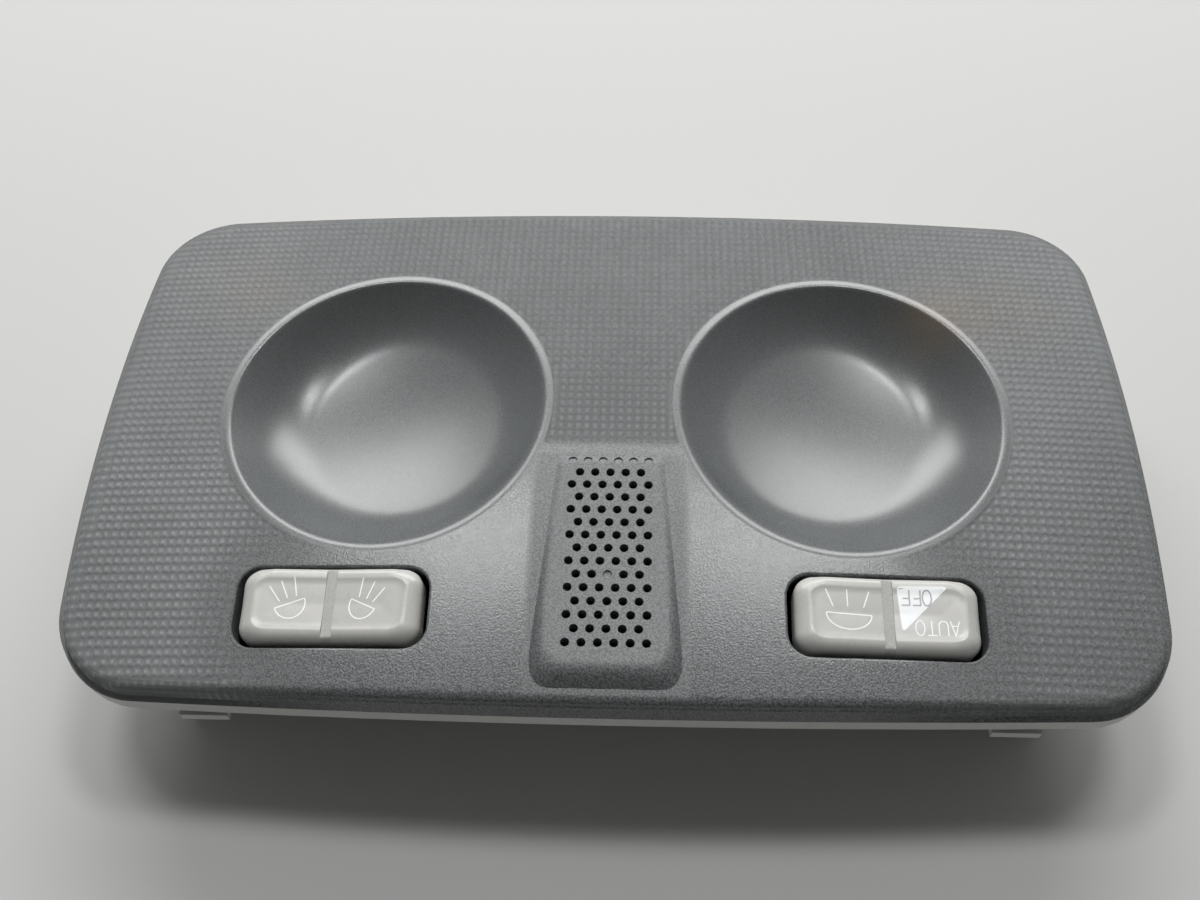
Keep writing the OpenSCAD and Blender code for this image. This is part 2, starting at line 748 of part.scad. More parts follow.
lens();
rear_housing();
bulb_flap();
rocker(-1);  // rocker_left
rocker(1);  // rocker_right
plunger(-1);  // plunger_left
plunger(1);  // plunger_right
plunger_spring(-1);  // plunger_spring_left
plunger_spring(1);  // plunger_spring_right
seesaw(-1);  // seesaw_left
seesaw(1);  // seesaw_right
switch_frame(-1);  // switch_frame_left
switch_frame(1);  // switch_frame_right
fulcrum(-1);  // fulcrum_left
fulcrum(1);  // fulcrum_right
outer_contacts(-1);  // contacts_left
outer_contacts(1);  // contacts_right
bulb_glass(-1);  // bulb_glass_left
bulb_glass(1);  // bulb_glass_right
bulb_caps(-1);  // bulb_caps_left
bulb_caps(1);  // bulb_caps_right
filament(-1);  // filament_left
filament(1);  // filament_right
bulb_clips(-1);  // bulb_clips_left
bulb_clips(1);  // bulb_clips_right
bus(0.5, [[2.5, bus_in], [2.5, switch_bus_y], [key_x, switch_bus_y]]);  // bus_supply
bus(-0.5, [[-2.5, bus_in], [-2.5, switch_bus_y], [-key_x, switch_bus_y]]);  // bus_ground
bus(1.5, [[7.5, bus_in], [7.5, chamber_high + 5], [dish_x, chamber_high + 5]]);  // bus_door
bus(-1.5, [[-7.5, bus_in], [-7.5, chamber_high + 5], [-dish_x, chamber_high + 5]]);  // bus_lamp
spring_clip(-1);  // spring_clip_left
spring_clip(1);  // spring_clip_right
grille_foam();
mic_boot();
mic_capsule();
mic_board();
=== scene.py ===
"""Looks of an overhead car light: a smoked, crowned cover with two dishes and a microphone grille,
two rocker keys with printed marks, and the finishes of the pieces behind the cover.

Lengths inside the functions are in millimetres, in the frame's axes: X along the width, Y away from
the switches' edge, Z out of the cover. They become metres when a mesh is made.
"""

import math

import bmesh
import bpy
import numpy as np
from mathutils import Matrix, Vector, geometry


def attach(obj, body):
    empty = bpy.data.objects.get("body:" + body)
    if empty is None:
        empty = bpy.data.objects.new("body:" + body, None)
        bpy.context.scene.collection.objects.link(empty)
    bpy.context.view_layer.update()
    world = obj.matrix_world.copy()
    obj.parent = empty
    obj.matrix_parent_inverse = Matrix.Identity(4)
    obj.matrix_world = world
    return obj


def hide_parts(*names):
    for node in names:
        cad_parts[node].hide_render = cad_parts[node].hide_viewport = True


bl_info = {
    "name": "Overhead car light",
    "version": (1, 0, 0),
    "blender": (4, 5, 0),
    "location": "View3D > Sidebar > Overhead light",
    "description": "Cover, keys, marks and finishes of an overhead car light",
    "category": "Object",
}

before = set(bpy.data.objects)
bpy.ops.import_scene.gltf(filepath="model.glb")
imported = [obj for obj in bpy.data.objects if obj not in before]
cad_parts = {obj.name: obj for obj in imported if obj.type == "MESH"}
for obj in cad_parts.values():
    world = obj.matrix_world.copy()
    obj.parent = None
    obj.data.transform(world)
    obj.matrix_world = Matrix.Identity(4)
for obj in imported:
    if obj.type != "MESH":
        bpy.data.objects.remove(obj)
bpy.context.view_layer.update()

MM = 0.001

# The crowned face: its top above the back, its radii, and where its highest place lies
FACE_TOP = 38.0
CROWN_RX = 1250.0
CROWN_RY = 400.0
CROWN_Y = 1.7

# The outline's arcs, as centre and radius, and its corner radii
SIDE_R, SIDE_Y = 700.0, -8.0
TOP_R = 5000.0
LOW_R = 1550.0
HALF_W = 98.0
HALF_H = 55.0
CORNER_UP = 15.6
CORNER_LOW = 16.4

# The dishes: where their middles lie on either side, and their radius at the rim
DISH_X, DISH_Y, DISH_R = 42.7, 3.9, 30.0

# The keys: where their middles lie on either side, half their length and width, their corners'
# radius, half the straight length of their sides, their underside, and the groove across them
KEY_X, KEY_Y = 47.7, -37.8
KEY_HALF_X, KEY_HALF_Y, KEY_CORNER = 15.75, 6.75, 3.2
KEY_FLAT_X, KEY_FLAT_Y = KEY_HALF_X - KEY_CORNER, KEY_HALF_Y - KEY_CORNER
KEY_BASE = -3.6
GROOVE_HALF, GROOVE_Z = 0.92, 0.76

# The openings round the keys: half their length and width, and their corners' radius
OPENING_X, OPENING_Y, OPENING_CORNER = 16.95, 7.3, 4.0

# The island: half its width at one place, how far its sides draw in over their run, and its ends
ISLE_WIDE, ISLE_WIDE_Y = 12.9, -46.0
ISLE_RUN, ISLE_TAPER = 38.0, 3.3
ISLE_LOW, ISLE_HIGH = -51.5, -8.2

# The grille: its lowest row, the tilt of its plane, its steps and counts, and the one blind hole
# that isn't in the top row
GRILLE_Y, GRILLE_Z, GRILLE_TILT = -44.15, 36.55, math.radians(2.6)
HOLE_PITCH, ROW_PITCH = 2.75, 2.5
GRILLE_ROWS, ROW_HOLES = 15, 6
BLIND_ROW, BLIND_HOLE = 5, 2

# How many steps go round a dish, an opening and a hole
DISH_STEPS, OPENING_STEPS, HOLE_STEPS = 144, 110, 18

# Rolled edge of the cover, from the face down, round the foot of its skirt and up its inside, and
# the lip of an opening: how far in from the outline or out from the opening, and how far down
EDGE_PROFILE = (
    (2.35, 0.012), (2.1, 0.05), (1.8, 0.13), (1.5, 0.26), (1.25, 0.44), (1.08, 0.66), (0.98, 0.88),
    (0.9, 1.0), (0.78, 1.06), (0.66, 1.16), (0.6, 1.3), (0.5, 1.7), (0.3, 2.7), (0.1, 3.8),
    (0.04, 4.2), (0.12, 4.36), (0.3, 4.4), (1.9, 4.4), (2.1, 4.3), (2.2, 4.0), (2.4, 3.0), (2.6, 2.6),
)
LIP_PROFILE = (
    (0.35, 0.005), (0.2, 0.05), (0.08, 0.14), (0.02, 0.27), (0.0, 0.45), (0.0, 3.9), (0.1, 4.0),
    (1.2, 4.0), (1.3, 3.9),
)

# Edge of the light layer inside the cover, as how far in and how far down, and the heights of the
# prisms' feet and tips below the face
LAYER_PROFILE = ((1.0, 4.0), (1.15, 1.7), (1.45, 1.15), (1.9, 0.78), (2.5, 0.5))
PRISM_FOOT, PRISM_TIP = 0.42, 0.22

# Width of the lines in a printed sign, and how far the print stands off the key
SIGN_LINE, PRINT_LIFT = 0.23, 0.02

# Faint stains under the face: middle, radii, colour and strength
STAINS = (((70, 28), (20, 13), (0.2, 0.13, 0.07), 0.6), ((-74, 33), (16, 13), (0.2, 0.15, 0.1), 0.4))

# The pale ground that the camera sees behind the light
BACKDROP = (0.72, 0.72, 0.715, 1.0)


# Shapes


def face_z(x, y):
    """Height of the crown: its top, less the squares of x and y over twice their radii."""
    return FACE_TOP - x * x / (2 * CROWN_RX) - (y - CROWN_Y) ** 2 / (2 * CROWN_RY)


def soft_min(a, b, k):
    """The smaller of a and b, rounded where they differ by less than k: min - (k - |a-b|)^2 / 4k."""
    h = np.maximum(k - np.abs(a - b), 0.0)
    return np.minimum(a, b) - h * h / (4 * k)


def soft_max(a, b, k):
    """The larger of a and b, rounded where they differ by less than k."""
    return -soft_min(-a, -b, k)


def turns(count):
    """Angles of a full turn in even steps."""
    return 2 * np.pi * np.arange(count) / count


def circle(r, a):
    """Places on a circle of radius r about the origin, at the angles a."""
    return r * np.stack([np.cos(a), np.sin(a)], -1)


def raised(plan, height):
    """Places of a plan with a height, one for all of them or one for each."""
    return np.column_stack([plan, np.broadcast_to(height, len(plan))])


def on_face(plan, drop=0.0):
    """Places of a plan laid on the crowned face, or a drop below it."""
    return raised(plan, face_z(*plan.T) - drop)


def meet(a, ra, b, rb, turn):
    """Where the circles of radii ra and rb about a and b cross, on the side that turn gives."""
    d = b - a
    length = np.hypot(*d)
    t = (ra * ra - rb * rb + length * length) / (2 * length)
    h = math.sqrt(ra * ra - t * t)
    return a + d * t / length + turn * h * np.array([-d[1], d[0]]) / length


def outline(inset, side=48, corner=18, across=104):
    """The cover's outline moved inwards, anticlockwise: four long arcs joined by four corner arcs,
    each point being a centre plus a radius at an angle that runs evenly from end to end."""
    right = np.array([HALF_W - SIDE_R, SIDE_Y])
    top = np.array([0.0, HALF_H - TOP_R])
    low = np.array([0.0, LOW_R - HALF_H])
    up_c = meet(right, SIDE_R - CORNER_UP, top, TOP_R - CORNER_UP, 1)
    down_c = meet(right, SIDE_R - CORNER_LOW, low, LOW_R - CORNER_LOW, -1)
    up_a, up_b = (math.atan2(*(up_c - c)[::-1]) for c in (right, top))
    down_a, down_b = (math.atan2(*(down_c - c)[::-1]) for c in (right, low))
    flip = np.array([-1.0, 1.0])
    arcs = [
        (right, SIDE_R, down_a, up_a, side),
        (up_c, CORNER_UP, up_a, up_b, corner),
        (top, TOP_R, up_b, math.pi - up_b, across),
        (up_c * flip, CORNER_UP, math.pi - up_b, math.pi - up_a, corner),
        (right * flip, SIDE_R, math.pi - up_a, math.pi - down_a, side),
        (down_c * flip, CORNER_LOW, math.pi - down_a, math.pi - down_b, corner),
        (low, LOW_R, math.pi - down_b, 2 * math.pi + down_b, across),
        (down_c, CORNER_LOW, 2 * math.pi + down_b, 2 * math.pi + down_a, corner),
    ]
    rings = []
    for centre, radius, start, end, count in arcs:
        a = start + (end - start) * np.arange(count) / count
        rings.append(centre + circle(radius - inset, a))
    return np.concatenate(rings)


def round_rect(half_x, half_y, radius, count=10):
    """A rectangle about the origin with rounded corners, anticlockwise from its lower right one:
    each corner is a quarter circle of even steps."""
    points = []
    for sx, sy, start in ((1, -1, -90), (1, 1, 0), (-1, 1, 90), (-1, -1, 180)):
        a = np.radians(start + 90 * np.arange(count + 1) / count)
        points.append(np.array([sx * (half_x - radius), sy * (half_y - radius)]) + circle(radius, a))
    return np.concatenate(points)


def even_loop(points, count):
    """A closed line through the points, taken again at even steps along its length."""
    closed = np.vstack([points, points[:1]])
    steps = np.hypot(*np.diff(closed, axis=0).T)
    along = np.concatenate([[0], np.cumsum(steps)])
    at = along[-1] * np.arange(count) / count
    return np.stack([np.interp(at, along, closed[:, k]) for k in (0, 1)], -1)


def key_frame(side):
    """Origin and axes of a switch: on the face at the middle of its key, with Z along the normal."""
    n = np.array([KEY_X / CROWN_RX, (KEY_Y - CROWN_Y) / CROWN_RY, 1.0])
    n /= np.linalg.norm(n)
    a, b = -math.asin(n[1]), side * math.asin(n[0])
    ca, sa, cb, sb = math.cos(a), math.sin(a), math.cos(b), math.sin(b)
    origin = np.array([side * KEY_X, KEY_Y, face_z(KEY_X, KEY_Y)])
    return origin, np.array([[cb, 0, -sb], [sa * sb, ca, sa * cb], [ca * sb, -sa, ca * cb]])


def at_key(side, local):
    """Points of a switch's own frame, turned into the light's frame."""
    origin, axes = key_frame(side)
    return origin + np.asarray(local) @ axes


def opening_loop(grow):
    """The outline of a key's opening in the switch's own plan, widened all round."""
    corner = OPENING_CORNER + grow
    return even_loop(round_rect(OPENING_X + grow, OPENING_Y + grow, corner), OPENING_STEPS)


class Skin:
    """Points and triangles of one mesh, gathered patch by patch."""

    def __init__(self):
        self.points, self.tris, self.count = [], [], 0

    def add(self, points):
        """Adds points and gives back their indices."""
        start = self.count
        self.points.append(np.asarray(points, float).reshape(-1, 3))
        self.count += len(self.points[-1])
        return np.arange(start, self.count)

    def face(self, tris):
        """Adds triangles, as indices in threes."""
        self.tris.append(np.asarray(tris, int).reshape(-1, 3))

    def strip(self, outer, inner, flip=False):
        """Joins two rings of the same count. Anticlockwise rings face up when outer is outside."""
        o2, i2 = np.roll(outer, -1), np.roll(inner, -1)
        tris = np.concatenate([np.stack([outer, o2, i2], -1), np.stack([outer, i2, inner], -1)])
        self.face(tris[:, ::-1] if flip else tris)

    def loft(self, rings, flip=False):
        """Joins rings of the same count in turn, from the outermost, and gives back their indices."""
        ids = [self.add(r) for r in rings]
        for a, b in zip(ids, ids[1:]):
            self.strip(a, b, flip)
        return ids

    def fan(self, ring, point, flip=False):
        """Closes a ring onto one point."""
        tip = self.add([point])[0]
        tris = np.stack([ring, np.roll(ring, -1), np.full(len(ring), tip)], -1)
        self.face(tris[:, ::-1] if flip else tris)

    def make(self, name, material, sharp=40):
        """A mesh object at the origin, in metres. Points that lie together become one, and edges
        that turn by more than a sharp angle in degrees stay sharp."""
        points = np.concatenate(self.points) * MM
        tris = np.concatenate(self.tris)
        mesh = bpy.data.meshes.new(name)
        mesh.from_pydata(points, [], tris)
        shape = bmesh.new()
        shape.from_mesh(mesh)
        bmesh.ops.remove_doubles(shape, verts=shape.verts, dist=1e-6)
        shape.to_mesh(mesh)
        shape.free()
        mesh.polygons.foreach_set("use_smooth", np.ones(len(mesh.polygons), bool))
        mesh.set_sharp_from_angle(angle=math.radians(sharp))
        mesh.update()
        mesh.materials.append(material)
        obj = bpy.data.objects.new(name, mesh)
        bpy.context.scene.collection.objects.link(obj)
        return obj


def within(points, ring):
    """Which points lie inside a closed ring: those from which a line crosses it an odd number of
    times."""
    a, b = ring, np.roll(ring, -1, 0)
    x, y = points[:, :1], points[:, 1:]
    spans = (a[:, 1] > y) != (b[:, 1] > y)
    rise = np.where(b[:, 1] == a[:, 1], 1.0, b[:, 1] - a[:, 1])
    left = x < a[:, 0] + (y - a[:, 1]) * (b[:, 0] - a[:, 0]) / rise
    return (spans & left).sum(1) % 2 == 1


def sheet(skin, xs, ys, height, edges, guard, flip=False):
    """A grid of heights over x and y between rings, joined to them by a Delaunay triangulation of
    the plan. edges is a list of (ring, ring's indices, True if outermost)."""
    p = np.stack([g.ravel() for g in np.meshgrid(xs, ys)], -1)
    for ring, _, outermost in edges:
        near = ((p[:, None] - ring) ** 2).sum(-1).min(1) < guard ** 2
        p = p[(within(p, ring) == outermost) & ~near]
    ids = [skin.add(raised(p, height(*p.T)))] + [e[1] for e in edges]
    plan = np.concatenate([p] + [e[0] for e in edges])
    lines, start = [], len(p)
    for ring, _, _ in edges:
        k = np.arange(len(ring))
        lines.append(start + np.stack([k, (k + 1) % len(ring)], -1))
        start += len(ring)
    out = geometry.delaunay_2d_cdt(plan.tolist(), np.concatenate(lines).tolist(), [], 0, 1e-6, False)
    if len(out[0]) != len(plan):
        raise RuntimeError("rings of the cover touch each other")
    tris = np.array(out[2])
    mid = plan[tris].mean(1)
    for ring, _, outermost in edges:
        keep = within(mid, ring) == outermost
        tris, mid = tris[keep], mid[keep]
    tris = np.concatenate(ids)[tris]
    skin.face(tris[:, ::-1] if flip else tris)


def dish_height(side, x, y):
    """Height of a dish: a wall that falls from the rim at a slope, rounded into a floor that is
    part of a sphere and is deepest towards the outer side, the rim rounded into the face. The
    roundings are wider at the rim and tighter at the floor on the near, inner side."""
    cover = bpy.context.scene.overhead_cover
    slope, floor_r = cover.dish_slope, cover.floor_radius / MM
    n = np.array([side * DISH_X / CROWN_RX, (DISH_Y - CROWN_Y) / CROWN_RY, 1.0])
    n /= np.linalg.norm(n)
    base = np.array([side * DISH_X, DISH_Y,
                     face_z(DISH_X, DISH_Y) - DISH_R ** 2 / 4 * (1 / CROWN_RX + 1 / CROWN_RY)])
    centre = base + n * (floor_r - cover.dish_depth / MM)
    centre = centre + np.array([side * cover.floor_shift / MM, 0, 0])
    out = np.hypot(x - base[0], y - base[1])
    wall = face_z(x, y) - np.maximum(DISH_R - out, -2.0) * math.tan(slope)
    floor = centre[2] - np.sqrt(floor_r ** 2 - (x - centre[0]) ** 2 - (y - centre[1]) ** 2)
    near = np.clip(-(0.5 * side * (x - base[0]) + 0.85 * (y - base[1])) / DISH_R, 0, 1)
    bowl = soft_max(wall, floor, 3.6 - 2.5 * near)
    return soft_min(face_z(x, y), bowl, 0.3 + 1.0 * near)


def isle_depth(x, y):
    """How far a place is inside the microphone's island, in steps of height: the least of its
    distances to the two slanting sides and of weighted distances to its low and high ends."""
    slant = np.array([ISLE_RUN, ISLE_TAPER]) / math.hypot(ISLE_RUN, ISLE_TAPER)
    reach = slant[0] * ISLE_WIDE + slant[1] * ISLE_WIDE_Y
    sides = reach - slant[0] * np.abs(x) - slant[1] * y
    low_end, high_end = 0.66 * (y - ISLE_LOW), ISLE_HIGH - y
    return soft_min(soft_min(sides, low_end, 4.2), high_end, 1.6)


def isle_top(y):
    """Height of the grille's plane, which rises away from the switches' edge."""
    return GRILLE_Z + math.tan(GRILLE_TILT) * (y - GRILLE_Y)


def isle_height(x, y):
    """Height of the island: walls that rise with the depth inside it, up to the grille's plane."""
    rise = face_z(x, y) + 0.85 * isle_depth(x, y)
    return soft_max(face_z(x, y), soft_min(rise, isle_top(y), 0.9), 0.12)


def isle_ring(depth=0.0, count=150):
    """A line round the island: along each ray from a middle, the place where the depth inside it
    is the one given, found by halving."""
    rays, middle = 720, np.array([0.0, -30.0])
    way = circle(1.0, turns(rays))
    near, far = np.zeros(rays), np.full(rays, 60.0)
    for _ in range(40):
        mid = (near + far) / 2
        inside = isle_depth(*(middle + mid[:, None] * way).T) > depth
        near, far = np.where(inside, mid, near), np.where(inside, far, mid)
    return even_loop(middle + near[:, None] * way, count)


def hole_centres():
    """Middles of the grille's holes in plan, row by row, and which of them are blind."""
    places = []
    for row in range(GRILLE_ROWS):
        count = ROW_HOLES - row % 2
        for j in range(count):
            blind = row == GRILLE_ROWS - 1 or (row, j) == (BLIND_ROW, BLIND_HOLE)
            places.append(((j - (count - 1) / 2) * HOLE_PITCH, GRILLE_Y + row * ROW_PITCH, blind))
    return places


def cover_skin(skin, drop, flip):
    """One skin of the cover, the outer one at drop 0 or the inner one a wall below it. Gives back
    its free rings: the edge of the face, the two key openings and the grille's holes. The rings
    of a dish lie close together at the rim, where the wall is rounded into the face."""
    radii = np.array([31.9, 31.5, 31.1, 30.7, 30.4, 30.1, 29.8, 29.5, 29.2, 28.9, 28.5, 28.0, 27.5])
    radii = np.concatenate([radii, np.arange(27.0, 2.5, -0.8)])
    face_edge = outline(2.6)
    edge_ids = skin.add(on_face(face_edge, drop))
    edges = [(face_edge, edge_ids, True)]
    for side in (-1, 1):
        centre = np.array([side * DISH_X, DISH_Y])
        rings = []
        for r in radii:
            ring = centre + circle(r, turns(DISH_STEPS))
            rings.append(raised(ring, dish_height(side, *ring.T) - drop))
        ids = skin.loft(rings, flip)
        skin.fan(ids[-1], np.append(centre, dish_height(side, *centre) - drop), flip)
        edges.append((rings[0][:, :2], ids[0], False))
    opening_ids = []
    for side in (-1, 1):
        world = at_key(side, raised(opening_loop(1.3 if drop else 0.5), 0.0))[:, :2]
        ids = skin.add(on_face(world, drop))
        edges.append((world, ids, False))
        opening_ids.append((side, ids))
    foot, clear = isle_ring(), isle_ring(-0.22)
    foot_ids, clear_ids = (skin.add(on_face(ring, drop)) for ring in (foot, clear))
    skin.strip(clear_ids, foot_ids, flip)
    edges.append((clear, clear_ids, False))
    sheet(skin, np.arange(-66, 67) * 1.5, np.arange(-37, 38) * 1.5,
          lambda x, y: face_z(x, y) - drop, edges, 0.9, flip)

    # The island's wall is a little thinner than the cover's
    lower = min(drop, 1.8)
    hole_ids, isle_edges = [], [(foot, foot_ids, True)]
    for x0, y0, blind in hole_centres():
        if drop and blind:
            continue
        centre = np.array([x0, y0])
        ring = centre + circle(0.73 if drop else 0.82, turns(HOLE_STEPS))
        ids = skin.add(raised(ring, isle_height(*ring.T) - lower))
        isle_edges.append((ring, ids, False))
        hole_ids.append((centre, blind, ids))
    step = 0.42
    sheet(skin, np.arange(-32, 33) * step, -52.0 + np.arange(106) * step,
          lambda x, y: isle_height(x, y) - lower, isle_edges, 0.26, flip)
    return edge_ids, opening_ids, hole_ids


def make_cover():
    """The cover: an outer and an inner skin, joined round its edge, its openings and its holes."""
    wall = bpy.context.scene.overhead_cover.wall / MM
    skin = Skin()
    edge_out, keys_out, holes_out = cover_skin(skin, 0.0, False)
    edge_in, keys_in, holes_in = cover_skin(skin, wall, True)
    ids = skin.loft([on_face(outline(inset), drop) for inset, drop in reversed(EDGE_PROFILE)])
    skin.strip(ids[-1], edge_out)
    skin.strip(edge_in, ids[0])
    for (side, outer), (_, inner) in zip(keys_out, keys_in):
        rings = []
        for grow, drop in LIP_PROFILE:
            local = opening_loop(grow)
            sunk, level = at_key(side, raised(local, -drop)), at_key(side, raised(local, 0.0))
            sunk[:, 2] += face_z(*level[:, :2].T) - level[:, 2]
            rings.append(sunk)
        ids = skin.loft(rings)
        skin.strip(outer, ids[0])
        skin.strip(ids[-1], inner)
    inner_holes = {tuple(c): ids for c, _, ids in holes_in}
    for centre, blind, outer in holes_out:
        profile = [(0.78, 0.02), (0.74, 0.08), (0.72, 0.18), (0.72, 0.3 if blind else 1.5)]
        if blind:
            profile.append((0.4, 0.36))
        rings = []
        for r, drop in profile:
            ring = centre + circle(r, turns(HOLE_STEPS))
            rings.append(raised(ring, isle_height(*ring.T) - drop))
        ids = skin.loft(rings)
        skin.strip(outer, ids[0])
        if blind:
            skin.fan(ids[-1], np.append(centre, isle_height(*centre) - 0.37))
        else:
            skin.strip(ids[-1], inner_holes[tuple(centre)])
    obj = skin.make("cover", smoked_plastic(), sharp=24)
    crease_foot(obj.data)
    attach(obj, "light")
    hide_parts("lens")


def crease_foot(mesh):
    """Keeps the line where the island's walls leave the face sharp: every edge with both ends at
    depth zero."""
    place = np.empty(3 * len(mesh.vertices))
    mesh.vertices.foreach_get("co", place)
    x, y, _ = place.reshape(-1, 3).T / MM
    on_foot = np.abs(isle_depth(x, y)) < 0.02
    ends = np.empty(2 * len(mesh.edges), np.int32)
    mesh.edges.foreach_get("vertices", ends)
    sharp = np.empty(len(mesh.edges), bool)
    mesh.edges.foreach_get("use_edge_sharp", sharp)
    mesh.edges.foreach_set("use_edge_sharp", sharp | on_foot[ends.reshape(-1, 2)].all(1))


def off_everything(x, y):
    """How far a place in plan is from the nearest dish, key, island or edge of the cover, each with
    a border round it."""
    ring = outline(0, 12, 8, 16)
    angle = np.arctan2(ring[:, 1], ring[:, 0])
    order = np.argsort(angle)
    reach = np.interp(np.arctan2(y, x), angle[order], np.hypot(*ring[order].T), period=2 * np.pi)
    gaps = [reach - np.hypot(x, y) - 4.2, -isle_depth(x, y) - 0.5]
    for side in (-1, 1):
        gaps.append(np.hypot(x - side * DISH_X, y - DISH_Y) - 32.2)
        gaps.append(np.maximum(np.abs(x - side * KEY_X) - 18.5, np.abs(y - KEY_Y) - 9.0))
    return np.min(gaps, 0)


def make_prisms():
    """The light layer inside the cover's wall: a sheet that follows the face and its rolled edge,
    and on every place of a grid that is clear of the dishes, keys and island a low four-sided
    pyramid."""
    cover = bpy.context.scene.overhead_cover
    skin = Skin()
    rings = [on_face(outline(inset), drop) for inset, drop in (*LAYER_PROFILE, (3.2, PRISM_FOOT))]
    ids = skin.loft(rings)
    edges = [(rings[-1][:, :2], ids[-1], True)]
    opening = even_loop(round_rect(17.6, 7.95, 4.6), 90)
    holes = []
    for side in (-1, 1):
        dish = np.array([side * DISH_X, DISH_Y]) + circle(31.3, turns(DISH_STEPS))
        holes += [dish, at_key(side, raised(opening, 0.0))[:, :2]]
    for ring in (*holes, isle_ring() * [1.03, 0.99]):
        edges.append((ring, skin.add(on_face(ring, PRISM_FOOT)), False))
    sheet(skin, np.arange(-33, 34) * 3.0, np.arange(-18, 19) * 3.0,
          lambda x, y: face_z(x, y) - PRISM_FOOT, edges, 1.2)
    px, py = cover.prism_pitch_x / MM, cover.prism_pitch_y / MM
    x, y = (g.ravel() for g in np.meshgrid(np.arange(-62, 63) * px, np.arange(-33, 34) * py))
    keep = off_everything(x, y) > 0
    x, y = x[keep], y[keep]
    cell = 0.47
    hx, hy = px * cell, py * cell
    corner = np.array([[-hx, -hy], [hx, -hy], [hx, hy], [-hx, hy]])
    foot = np.stack([x, y], -1)[:, None] + corner
    z = face_z(foot[..., 0], foot[..., 1]) - PRISM_FOOT - 0.02
    tips = np.stack([x, y, face_z(x, y) - PRISM_TIP], -1)
    points = np.concatenate([np.concatenate([foot, z[..., None]], -1), tips[:, None]], 1)
    pattern = np.array([[0, 1, 4], [1, 2, 4], [2, 3, 4], [3, 0, 4]])
    start = skin.add(points.reshape(-1, 3))[0]
    skin.face((start + 5 * np.arange(len(x))[:, None, None] + pattern).reshape(-1, 3))
    obj = skin.make("cover_prisms", prism_plastic(), sharp=8)
    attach(obj, "light")


def key_height(x, y, inset):
    """Height of a key's top over a place and its inset from the key's outline: two planes that
    fall to the middle, less a rounded edge, wider at the ends and tighter at the far side, and a
    shallow scoop inside it, with a groove across the middle."""
    top = 1.1 + 0.6 * np.abs(x) / KEY_HALF_X
    far = np.clip(y / 4, 0, 1)
    end = np.clip((np.abs(x) - 10.5) / 3.5, 0, 1)
    width = 2.3 - 1.0 * far * (1 - end) + 1.4 * end
    depth = 1.9 - 0.5 * far + 0.8 * end
    edge = np.clip(1 - inset / width, 0, 1)
    scoop_x, scoop_y, corner, shift = 13.4, 4.6, 2.5, 0.15
    q = np.stack([np.abs(x) - (scoop_x - corner), np.abs(y - shift) - (scoop_y - corner)])
    inside = corner - np.hypot(*np.maximum(q, 0)) - np.minimum(q.max(0), 0)
    wall = np.clip(inside / 1.2, 0, 1)
    scoop = 0.15 * wall * (2 - wall) + 0.004 * np.clip(inside, 0, 5) ** 2
    z = top - depth * (1 - np.sqrt(1 - edge * edge)) - scoop
    return np.where(np.abs(x) < GROOVE_HALF, np.minimum(z, GROOVE_Z), z)


def key_loop(inset, stations_x, stations_y):
    """The key's outline drawn in by an inset, with the same places along each straight side."""
    a, b, r = KEY_FLAT_X, KEY_FLAT_Y, max(KEY_CORNER - inset, 0.0)
    corner = [(a, -b, -90), (a, b, 0), (-a, b, 90), (-a, -b, 180)]
    sides = [np.column_stack([np.full(len(stations_y), a + r), stations_y]),
             np.column_stack([stations_x[::-1], np.full(len(stations_x), b + r)]),
             np.column_stack([np.full(len(stations_y), -a - r), stations_y[::-1]]),
             np.column_stack([stations_x, np.full(len(stations_x), -b - r)])]
    parts = []
    for (cx, cy, start), side in zip(corner, sides):
        t = np.radians(start + 90 * np.arange(13) / 12)
        parts += [np.array([cx, cy]) + circle(r, t), side]
    return np.concatenate(parts)


